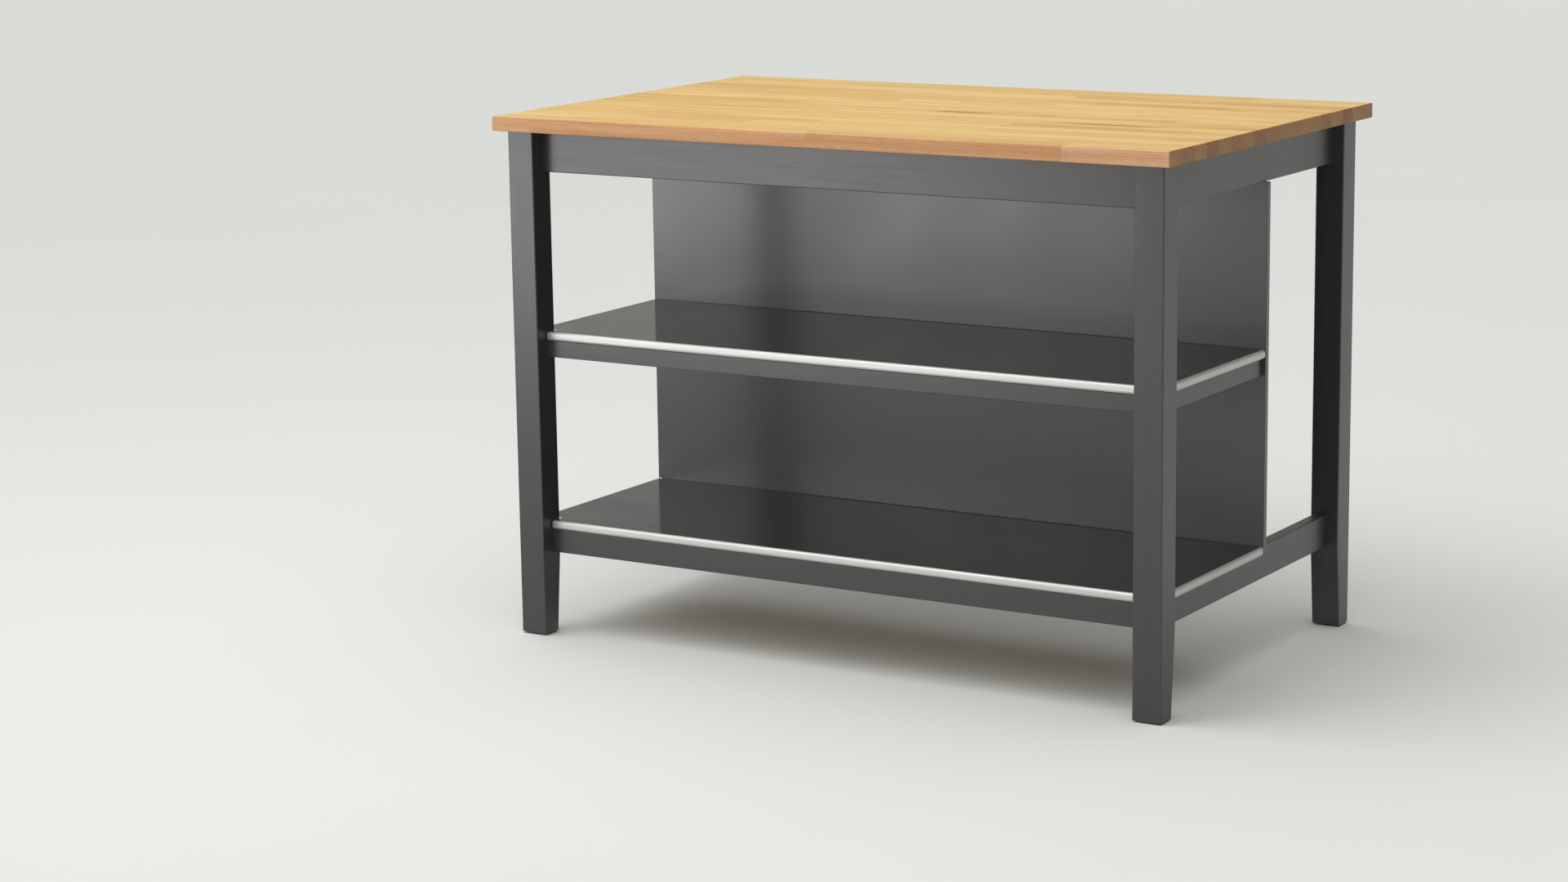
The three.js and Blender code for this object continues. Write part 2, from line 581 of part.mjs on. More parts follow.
for (const rail of LONG_RAILS) {
  place(rail.name, longRail(rail), blackBrownLacquer());
  for (const side of SIDES) {
    const inwards = AXIS.x.clone().multiplyScalar(-side.x);
    const outOfRail = AXIS.y.clone().multiplyScalar(rail.leg.inward);
    const end = `${rail.name}_${side.name}`;
    const camX = side.x * (LEG_INNER_X - CAM_FROM_LEG);
    // Turned round to face the front, the cam's own X axis points the other way.
    const slotX = side.x * rail.leg.inward;
    const boltStart = [side.x * LEG_INNER_X, rail.leg.boltY, rail.boltZ];
    place(`cam_bolt_${end}`, camBolt(), zincPlate(), boltStart, inwards);
    place(`cam_lock_${end}`, camLock(slotX), zincPlate(), [camX, rail.leg.innerY, rail.boltZ], outOfRail);
    if (rail.isApron) {
      const dowelX = side.x * (LEG_INNER_X + DOWEL_IN_LEG);
      place(`dowel_${end}`, dowel(), beech(), [dowelX, rail.leg.boltY, rail.dowelZ], inwards);
    }
  }
}

for (const rail of CROSS_RAILS) place(rail.name, crossRail(rail), blackBrownLacquer());

for (const [name, top] of [["middle", MIDDLE_SHELF_TOP], ["lower", LOWER_SHELF_TOP]]) {
  place(`${name}_shelf_skin`, shelfSkin(top), satinSteel());
  place(`${name}_shelf_core`, shelfCore(top), chipboard());
}

place("back_panel", backPanel(), blackBrownPanel());
for (const { name, x, z } of PANEL_SCREWS) {
  place(`panel_screw_${name}`, panelScrew(), zincPlate(), [x, PANEL_BACK_Y, z]);
}
for (const { name, position, facing } of BRACKETS) {
  place(`top_bracket_${name}`, bracket(), zincPlate(), position, facing);
}

export default table;
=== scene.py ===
"""A butcher block kitchen table: oiled oak staves on a black-brown lacquered frame, with two
steel-clad shelves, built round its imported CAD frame. Lengths are in metres, +Z is up, and the
shelves face -Y."""
import math

import bmesh
import bpy
from bpy.props import FloatProperty, FloatVectorProperty, IntProperty, PointerProperty
from mathutils import Matrix, Vector


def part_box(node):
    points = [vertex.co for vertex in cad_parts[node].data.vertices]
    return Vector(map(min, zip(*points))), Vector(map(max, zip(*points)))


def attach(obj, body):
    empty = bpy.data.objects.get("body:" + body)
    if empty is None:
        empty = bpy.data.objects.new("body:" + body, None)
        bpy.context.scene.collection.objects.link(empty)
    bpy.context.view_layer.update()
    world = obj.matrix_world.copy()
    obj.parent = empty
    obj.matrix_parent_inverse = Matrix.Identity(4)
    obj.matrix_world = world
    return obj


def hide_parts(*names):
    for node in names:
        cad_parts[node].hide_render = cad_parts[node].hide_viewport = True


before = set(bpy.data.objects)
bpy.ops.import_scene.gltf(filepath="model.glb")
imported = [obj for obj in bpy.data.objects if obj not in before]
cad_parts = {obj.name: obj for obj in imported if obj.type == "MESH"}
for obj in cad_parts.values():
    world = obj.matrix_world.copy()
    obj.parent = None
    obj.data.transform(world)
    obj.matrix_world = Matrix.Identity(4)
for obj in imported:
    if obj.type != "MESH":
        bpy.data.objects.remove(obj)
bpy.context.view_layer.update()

bl_info = {
    "name": "Butcher block table",
    "version": (1, 0, 0),
    "blender": (4, 5, 0),
    "location": "View3D > Sidebar > Table",
    "description": "Builds the pieces, finishes and stage of a butcher block kitchen table",
    "category": "Add Mesh",
}

BODY = "root"
MM = 0.001
SIDES = ("left", "right")
ROWS = ("front", "back")
LONG_RAILS = ("front_apron", "back_apron", "middle_front_rail", "lower_front_rail")
CROSS_RAILS = ("panel_top_rail", "middle_back_rail", "lower_back_rail")
SIDE_RAILS = ("side_apron", "middle_side_rail", "lower_side_rail")
SHELVES = ("middle", "lower")
MOST_STAVES_IN_A_ROW = 64  # more than any row has, so that each joint draws its own chance
# Where each softbox stands and looks, its width and height, and the angle that it spreads over.
SOFTBOXES = {
    "front_card": ((-1.5, -2.2, 0.85), (-0.05, -0.3, 0.87), (1.7, 1.2), math.radians(48)),
    "overhead_softbox": ((-1.1, -1.2, 3.4), (0.0, 0.0, 0.5), (2.4, 2.4), math.pi),
}


# ------------------------------------------------------------------ colours and nodes


def linear(hex_colour):
    """An sRGB hex colour as linear red, green and blue."""
    channels = [int(hex_colour[i:i + 2], 16) / 255 for i in (1, 3, 5)]
    return tuple(c / 12.92 if c <= 0.04045 else ((c + 0.055) / 1.055) ** 2.4 for c in channels)


def rgba(colour):
    """An sRGB hex colour or linear channels as linear red, green and blue with a full alpha."""
    channels = linear(colour) if isinstance(colour, str) else colour
    return (*channels[:3], 1.0)


def output(value):
    """The socket that a link leaves from: a node stands for its first output in use."""
    if isinstance(value, bpy.types.Node):
        return next(socket for socket in value.outputs if socket.enabled)
    return value


def add(tree, kind, *values, **settings):
    """Adds a node with its settings, and links or sets its inputs. Values go to the inputs in
    order, and a dict holds those that go by name or number."""
    node = tree.nodes.new(kind)
    for name, value in settings.items():
        setattr(node, name, value)
    inputs = {}
    for number, value in enumerate(values):
        inputs |= value if isinstance(value, dict) else {number: value}
    for name, value in inputs.items():
        socket = node.inputs[name]
        if isinstance(value, (bpy.types.Node, bpy.types.NodeSocket)):
            tree.links.new(output(value), socket)
        else:
            socket.default_value = rgba(value) if socket.type == "RGBA" else value
    return node


def new_material(name, **sockets):
    """A material with one Principled shader, whose constants are set on the shader's own sockets,
    and the place vector that its patterns follow."""
    material = bpy.data.materials.new(name)
    material.use_nodes = True
    tree = material.node_tree
    tree.nodes.clear()
    shader = add(tree, "ShaderNodeBsdfPrincipled", sockets)
    add(tree, "ShaderNodeOutputMaterial", {"Surface": shader.outputs[0]})
    place = add(tree, "ShaderNodeTexCoord").outputs["Object"]
    return material, tree, shader, place


def waves(tree, place, per_metre, **inputs):
    """Soft noise on a place vector, with a number of waves per metre along X, Y and Z."""
    scaled = add(tree, "ShaderNodeVectorMath", place, per_metre, operation="MULTIPLY")
    return add(tree, "ShaderNodeTexNoise", {"Vector": scaled, "Scale": 1.0} | inputs)


def toned(tree, amount, stops):
    """A colour that goes from stop to stop, each a position and a colour, as an amount grows."""
    low, colour = stops[0]
    for high, following in stops[1:]:
        step = add(tree, "ShaderNodeMapRange", amount, low, high, 0.0, 1.0)
        colour = add(tree, "ShaderNodeMix", {0: step, 6: colour, 7: following}, data_type="RGBA")
        low = high
    return colour


def dress(tree, shader, colour, relief, depth, roughness=None):
    """Gives a shader its patterns: a colour, a relief of a depth in metres, and a roughness."""
    raised = add(tree, "ShaderNodeBump", {"Height": relief, "Distance": depth, "Strength": 1.0})
    tree.links.new(output(colour), shader.inputs["Base Color"])
    tree.links.new(output(raised), shader.inputs["Normal"])
    if roughness is not None:
        tree.links.new(output(roughness), shader.inputs["Roughness"])


def colour_setting(name, description, hex_colour):
    """A colour that a user can change."""
    default = linear(hex_colour)
    return FloatVectorProperty(name=name, description=description, subtype="COLOR", default=default)


def length_setting(name, description, default, least=0.0):
    """A length that a user can change."""
    return FloatProperty(name=name, description=description, default=default, min=least, unit="LENGTH")


# ------------------------------------------------------------------ finishes


def oiled_oak(settings):
    """Oiled oak staves: honey boards of several tones, with ring bands and dark pores. The
    sawn ends are darker, because they drink more oil, and the planed sides are darker and redder as
    painted shade."""
    material, tree, shader, place = new_material("oiled_oak_staves", **{"IOR": 1.5})
    tone = add(tree, "ShaderNodeAttribute", attribute_name="stave_tone").outputs["Fac"]
    shift = add(tree, "ShaderNodeAttribute", attribute_name="stave_shift").outputs["Vector"]
    end = add(tree, "ShaderNodeAttribute", attribute_name="end_grain").outputs["Fac"]
    side = add(tree, "ShaderNodeAttribute", attribute_name="side_grain").outputs["Fac"]

    # Each stave is cut from its own log: its rings run round a pith line along X, off to a side,
    # and sway by up to 22 mm along its length.
    moved = add(tree, "ShaderNodeVectorMath", place, shift, operation="ADD")
    sway = waves(tree, moved, (1.6, 9.0, 9.0), Detail=2.0)
    sway_depth = add(tree, "ShaderNodeMath", sway, 22 * MM, operation="MULTIPLY")
    swaying = add(tree, "ShaderNodeCombineXYZ", {"Y": sway_depth, "Z": sway_depth})
    swayed = add(tree, "ShaderNodeVectorMath", moved, swaying, operation="ADD")
    across = add(tree, "ShaderNodeVectorMath", swayed, (0.0, 1.0, 1.0), operation="MULTIPLY")
    pith = add(tree, "ShaderNodeVectorMath", shift, (0.0, 1.0, 1.0), operation="MULTIPLY")
    radius = add(tree, "ShaderNodeVectorMath", across, pith, operation="DISTANCE")
    years = add(tree, "ShaderNodeMath", radius, settings.ring_width, operation="DIVIDE")
    rings = add(tree, "ShaderNodeMath", years, operation="FRACT")
    late_wood = add(tree, "ShaderNodeMath", rings, 2.0, operation="POWER")

    # Broad soft streaks along the stave, about 10 mm wide, carry the look from across a room.
    streaks = waves(tree, moved, (2.2, 95.0, 95.0), Detail=3.0, Roughness=0.6)
    # Open pores: dark dashes along the grain, 18 mm long, drawn about twice their real 0.3 mm width.
    pores = waves(tree, moved, (55.0, 1500.0, 1500.0), Detail=1.0)
    pore_mask = add(tree, "ShaderNodeMapRange", pores, 0.6, 0.72, 0.0, 1.0)

    tones = ((0.05, settings.stave_brown), (0.50, settings.stave_honey), (1.00, settings.stave_light))
    boards = toned(tree, tone, tones)
    streakiness = add(tree, "ShaderNodeMapRange", streaks, 0.35, 0.68, 0.0, 0.5)
    blend, tint = {"data_type": "RGBA"}, {"data_type": "RGBA", "blend_type": "MULTIPLY"}
    streaked = add(tree, "ShaderNodeMix", {0: streakiness, 6: boards, 7: settings.streak}, **tint)
    ring_strength = add(tree, "ShaderNodeMath", late_wood, 0.3, operation="MULTIPLY")
    ringed = add(tree, "ShaderNodeMix", {0: ring_strength, 6: streaked, 7: settings.streak}, **tint)
    pore_strength = add(tree, "ShaderNodeMath", pore_mask, 0.35, operation="MULTIPLY")
    wood = add(tree, "ShaderNodeMix", {0: pore_strength, 6: ringed, 7: settings.pore}, **blend)
    # Mineral flecks: narrow dark marks in two of the staves, with ragged ends.
    ragged = waves(tree, place, (14.0, 300.0, 300.0), Detail=2.0)
    flecks = (
        (settings.long_fleck, settings.long_fleck_reach),
        (settings.short_fleck, settings.short_fleck_reach),
    )
    for spot, reach in flecks:
        away = add(tree, "ShaderNodeVectorMath", place, spot[:], operation="SUBTRACT")
        shares = add(tree, "ShaderNodeVectorMath", away, reach[:], operation="DIVIDE")
        far = add(tree, "ShaderNodeVectorMath", shares, operation="LENGTH")
        ragged_far = add(tree, "ShaderNodeMath", far, ragged, operation="ADD")
        mark = add(tree, "ShaderNodeMapRange", ragged_far, 1.0, 1.5, 1.0, 0.0)
        wood = add(tree, "ShaderNodeMix", {0: mark, 6: wood, 7: settings.fleck}, **blend)
    # The sawn ends differ less from stave to stave than the faces do.
    soaked = add(tree, "ShaderNodeMix", {0: 0.55, 6: wood, 7: settings.stave_honey}, **blend)
    thirst = add(tree, "ShaderNodeMapRange", tone, 0.0, 1.0, 0.9, 0.75)
    end_tone = add(tree, "ShaderNodeMix", {0: thirst, 6: soaked, 7: settings.end_grain}, **tint)
    # The planed front and back faces are tinted darker and redder all over: painted shade for the lower
    # light that falls on them.
    side_painted_shade_tone = add(tree, "ShaderNodeMix", {0: 1.0, 6: wood, 7: settings.side_grain}, **tint)
    with_ends = add(tree, "ShaderNodeMix", {0: end, 6: wood, 7: end_tone}, **blend)
    colour = add(tree, "ShaderNodeMix", {0: side, 6: with_ends, 7: side_painted_shade_tone}, **blend)
    relief = add(tree, "ShaderNodeMath", ring_strength, pore_mask, operation="SUBTRACT")
    sheen = add(tree, "ShaderNodeMapRange", streaks, 0.3, 0.7, 0.5, 0.64)
    dress(tree, shader, colour, relief, 0.05 * MM, sheen)
    return material


def lacquered_wood(name, colour, roughness, along):
    """Stained and lacquered birch: near black with a brown cast. The satin film fills most of
    the grain, which shows as faint long ripples and slightly browner streaks."""
    sockets = {"IOR": 1.5, "Coat Weight": 0.5, "Coat Roughness": 0.3}
    material, tree, shader, place = new_material(name, **sockets)
    # Grain ripples 2.4 mm wide and 140 mm long, in streaks six times that size.
    per_metre = [420.0, 420.0, 420.0]
    per_metre[along] = 7.0
    grain = waves(tree, place, tuple(per_metre), Detail=3.0, Roughness=0.6)
    coarse = waves(tree, place, tuple(w / 6 for w in per_metre), Detail=2.0)
    # Orange peel of a sprayed film, 4 mm across.
    peel = waves(tree, place, (260.0, 260.0, 260.0), Detail=1.0)
    brownness = add(tree, "ShaderNodeMapRange", coarse, 0.35, 0.7, 0.0, 0.7)
    browner = add(tree, "ShaderNodeMix", {0: brownness, 6: colour, 7: "#352f2f"}, data_type="RGBA")
    thin = add(tree, "ShaderNodeAttribute", attribute_name="eased_edge").outputs["Fac"]
    # The film draws thin over the eased edges and lets a little of the wood through.
    patches = add(tree, "ShaderNodeMapRange", coarse, 0.45, 0.75, 0.0, 0.2)
    worn = add(tree, "ShaderNodeMath", thin, patches, operation="MULTIPLY")
    colour = add(tree, "ShaderNodeMix", {0: worn, 6: browner, 7: "#454042"}, data_type="RGBA")
    low_peel = add(tree, "ShaderNodeMath", peel, 0.6, operation="MULTIPLY")
    relief = add(tree, "ShaderNodeMath", grain, low_peel, operation="ADD")
    sheen = add(tree, "ShaderNodeMapRange", grain, 0.3, 0.7, roughness - 0.04, roughness + 0.06)
    dress(tree, shader, colour, relief, 0.055 * MM, sheen)
    return material


def lacquered_board(settings):
    """Lacquered fibreboard: no grain at all, only a rolled satin film with a soft mirror."""
    sockets = {"IOR": 1.5, "Coat Weight": 0.6, "Coat Roughness": 0.22}
    material, tree, shader, place = new_material("lacquered_fibreboard", **sockets)
    clouds = waves(tree, place, (6.0, 6.0, 6.0), Detail=2.0)
    # Peel of the roller, 3 mm across.
    peel = waves(tree, place, (330.0, 330.0, 330.0), Detail=1.0)
    cloudy = add(tree, "ShaderNodeMapRange", clouds, 0.35, 0.65, 0.0, 1.0)
    tones = {0: cloudy, 6: settings.board_colour, 7: "#373436"}
    colour = add(tree, "ShaderNodeMix", tones, data_type="RGBA")
    sheen = add(tree, "ShaderNodeMapRange", clouds, 0.3, 0.7, 0.34, 0.44)
    dress(tree, shader, colour, peel, 0.02 * MM, sheen)
    return material


def stainless_sheet(settings):
    """Stainless steel sheet, its colour darkened as painted shade, so that it mirrors the panel behind it
    dimly and a little drawn out across the rolling lines."""
    sockets = {"Metallic": 1.0, "Specular Tint": settings.sheet_grazing}
    material, tree, shader, place = new_material("stainless_sheet", **sockets)
    # Rolling lines 0.7 mm apart, drawn coarser than the real ones so that they show.
    lines = waves(tree, place, (4.0, 1400.0, 1400.0), Detail=2.0)
    smears = waves(tree, place, (3.0, 9.0, 9.0), Detail=3.0)
    dimmed = add(tree, "ShaderNodeMapRange", lines, 0.3, 0.7, 0.0, 0.3)
    # The sheet's dark colour is painted shade: it dims the sheet's mirror.
    tones = {0: dimmed, 6: settings.sheet_shaded_colour, 7: "#868686"}
    colour = add(tree, "ShaderNodeMix", tones, data_type="RGBA")
    sheen = add(tree, "ShaderNodeMapRange", smears, 0.3, 0.7, 0.07, 0.13)
    dress(tree, shader, colour, lines, 0.004 * MM, sheen)
    return material


def steel_edge_painted_highlight(settings):
    """The sheet's rolled edge in a paler copy of the same steel, a painted highlight: a satin line that
    catches light.
    """
    material, tree, shader, place = new_material("steel_edge_painted_highlight", **{"Metallic": 1.0})
    # Tool lines 0.6 mm apart that run along the edge.
    lines = waves(tree, place, (6.0, 6.0, 1600.0), Detail=2.0)
    dimmed = add(tree, "ShaderNodeMapRange", lines, 0.3, 0.7, 0.0, 0.35)
    # The edge's pale colour is a painted highlight on the same steel as the sheet.
    tones = {0: dimmed, 6: settings.edge_highlight_colour, 7: "#a7a7a4"}
    colour = add(tree, "ShaderNodeMix", tones, data_type="RGBA")
    sheen = add(tree, "ShaderNodeMapRange", lines, 0.3, 0.7, 0.5, 0.62)
    dress(tree, shader, colour, lines, 0.006 * MM, sheen)
    return material


def pressed_chipboard():
    """Raw chipboard: flat chips a few millimetres long, pressed together and sanded."""
    sockets = {"IOR": 1.5, "Roughness": 0.85}
    material, tree, shader, place = new_material("pressed_chipboard", **sockets)
    # Chips about 4 mm long, 2.4 mm wide and 1.3 mm thick.
    scaled = add(tree, "ShaderNodeVectorMath", place, (260.0, 420.0, 800.0), operation="MULTIPLY")
    chips = add(tree, "ShaderNodeTexVoronoi", {"Vector": scaled, "Scale": 1.0})
    grey = add(tree, "ShaderNodeSeparateColor", {0: chips.outputs["Color"]})
    tones = ((0.0, "#9a7d58"), (0.5, "#b4986f"), (1.0, "#c9b08a"))
    dress(tree, shader, toned(tree, grey, tones), grey, 0.1 * MM)
    return material


def zinc_plate():
    """Bright zinc plating on pressed or cast steel, slightly cloudy with a cool blue cast."""
    material, tree, shader, place = new_material("zinc_plated_steel", **{"Metallic": 1.0})
    # Clouds 4.5 mm across.
    clouds = waves(tree, place, (220.0, 220.0, 220.0), Detail=3.0)
    cloudy = add(tree, "ShaderNodeMapRange", clouds, 0.3, 0.7, 0.0, 1.0)
    colour = add(tree, "ShaderNodeMix", {0: cloudy, 6: "#b9bcc2", 7: "#9fa3a8"}, data_type="RGBA")
    sheen = add(tree, "ShaderNodeMapRange", clouds, 0.3, 0.7, 0.28, 0.45)
    dress(tree, shader, colour, clouds, 0.01 * MM, sheen)
    return material


def raw_beech():
    """Raw beech dowel stock: pale pink-brown with short dark flecks along the grain."""
    sockets = {"IOR": 1.5, "Roughness": 0.7}
    material, tree, shader, place = new_material("raw_beech", **sockets)
    # Flecks 3 mm long and 0.5 mm wide.
    flecks = waves(tree, place, (300.0, 2200.0, 2200.0), Detail=2.0)
    dark = add(tree, "ShaderNodeMapRange", flecks, 0.5, 0.7, 0.0, 0.8)
    colour = add(tree, "ShaderNodeMix", {0: dark, 6: "#cfa777", 7: "#9a6f47"}, data_type="RGBA")
    dress(tree, shader, colour, flecks, 0.05 * MM)
    return material


def moulded_glide():
    """Moulded black polyethylene with the fine matt grain of its tool, 0.6 mm across."""
    material, tree, shader, place = new_material("moulded_polyethylene", **{"IOR": 1.51})
    grain = waves(tree, place, (1800.0, 1800.0, 1800.0), Detail=1.0)
    colour = add(tree, "ShaderNodeMix", {0: grain, 6: "#151516", 7: "#262628"}, data_type="RGBA")
    sheen = add(tree, "ShaderNodeMapRange", grain, 0.3, 0.7, 0.45, 0.6)
    dress(tree, shader, colour, grain, 0.03 * MM, sheen)
    return material


def pale_floor(settings):
    """Painted studio floor and wall: flat pale grey, faintly mottled by the roller. It is clear
    from below, so that the underside of the table can be looked at."""
    sockets = {"IOR": 1.45, "Roughness": 0.95, "Specular IOR Level": 0.25}
    material, tree, shader, place = new_material("painted_studio_floor", **sockets)
    mottle = waves(tree, place, (1.3, 1.3, 1.3), Detail=3.0)
    darker = tuple(0.97 * c for c in settings.floor_colour)
    tones = {0: mottle, 6: settings.floor_colour, 7: darker}
    colour = add(tree, "ShaderNodeMix", tones, data_type="RGBA")
    tree.links.new(output(colour), shader.inputs["Base Color"])
    below = add(tree, "ShaderNodeNewGeometry").outputs["Backfacing"]
    clear = add(tree, "ShaderNodeBsdfTransparent")
    sides = {0: below, 1: shader.outputs[0], 2: clear}
    one_sided = add(tree, "ShaderNodeMixShader", sides)
    tree.links.new(output(one_sided), tree.nodes["Material Output"].inputs["Surface"])
    return material


# ------------------------------------------------------------------ mesh helpers


def new_piece(name, work, materials):
    """A named object made from a bmesh, which it frees."""
    mesh = bpy.data.meshes.new(name)
    work.to_mesh(mesh)
    work.free()
    piece = bpy.data.objects.new(name, mesh)
    bpy.context.scene.collection.objects.link(piece)
    for material in materials:
        mesh.materials.append(material)
    return piece


def stands_for(piece, node):
    """The piece rides on the table and hides the node it stands for."""
    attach(piece, BODY)
    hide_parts(node)


def smooth_but_sharp(work, angle=math.radians(35)):
    """Shades every face smooth and keeps the edges that turn more than an angle sharp."""
    for face in work.faces:
        face.smooth = True
    for edge in work.edges:
        edge.smooth = edge.calc_face_angle(0.0) < angle


def keep_flats_flat(piece):
    """Leans the shading at each edge towards its larger face, so that flat faces stay flat."""
    modifier = piece.modifiers.new("flat faces", "WEIGHTED_NORMAL")
    modifier.keep_sharp = True


def eased_copy(node, name, radius, shortest, material):
    """A copy of a CAD piece whose long outer edges are rounded over."""
    work = bmesh.new()
    work.from_mesh(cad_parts[node].data)
    mark = work.faces.layers.float.new("eased_edge")
    bmesh.ops.remove_doubles(work, verts=work.verts, dist=0.01 * MM)
    flat, corner = math.radians(0.5), math.radians(60)
    bmesh.ops.dissolve_limit(work, angle_limit=flat, verts=work.verts, edges=work.edges)
    long_edges = [
        edge for edge in work.edges
        if edge.calc_length() > shortest and edge.is_convex and edge.calc_face_angle(0.0) > corner
    ]
    rounded = bmesh.ops.bevel(
        work, geom=long_edges, offset=radius, segments=3, profile=0.5, affect="EDGES",
        clamp_overlap=True,
    )
    for face in rounded["faces"]:
        face[mark] = 1.0
    smooth_but_sharp(work)
    piece = new_piece(name, work, [material])
    keep_flats_flat(piece)
    return piece


def loft(work, rings, close_start=True, close_end=True):
    """Joins rings of points, each with the same count, into a skin, and returns its bands."""
    loops = [[work.verts.new(point) for point in ring] for ring in rings]
    count = len(loops[0])
    bands = []
    for lower, upper in zip(loops, loops[1:]):
        following = [(i + 1) % count for i in range(count)]
        corners = [(lower[i], lower[j], upper[j], upper[i]) for i, j in enumerate(following)]
        bands.append([work.faces.new(corner) for corner in corners])
    if close_start:
        work.faces.new(loops[0][::-1])
    if close_end:
        work.faces.new(loops[-1])
    return bands


def quarter_turn(steps):
    """Evenly spaced angles from nothing to a right angle."""
    return [math.pi / 2 * step / steps for step in range(steps + 1)]


def circle(radius, height, count):
    """A level ring of points round the Z axis."""
    steps = [2 * math.pi * i / count for i in range(count)]
    return [Vector((radius * math.cos(a), radius * math.sin(a), height)) for a in steps]


# ------------------------------------------------------------------ worktop


def new_tree(name, inputs):
    """A Geometry Nodes tree with named inputs and one geometry output."""
    tree = bpy.data.node_groups.new(name, "GeometryNodeTree")
    for label, kind in inputs.items():
        tree.interface.new_socket(label, in_out="INPUT", socket_type=f"NodeSocket{kind}")
    tree.interface.new_socket("Geometry", in_out="OUTPUT", socket_type="NodeSocketGeometry")
    return tree


def end_tree(tree, placed, material):
    """Ends a tree: instances made real, one material, and the tree's output."""
    solid = add(tree, "GeometryNodeRealizeInstances", {"Geometry": placed})
    finished = add(tree, "GeometryNodeSetMaterial", {"Geometry": solid, "Material": material})
    add(tree, "NodeGroupOutput", {"Geometry": finished})
    return tree


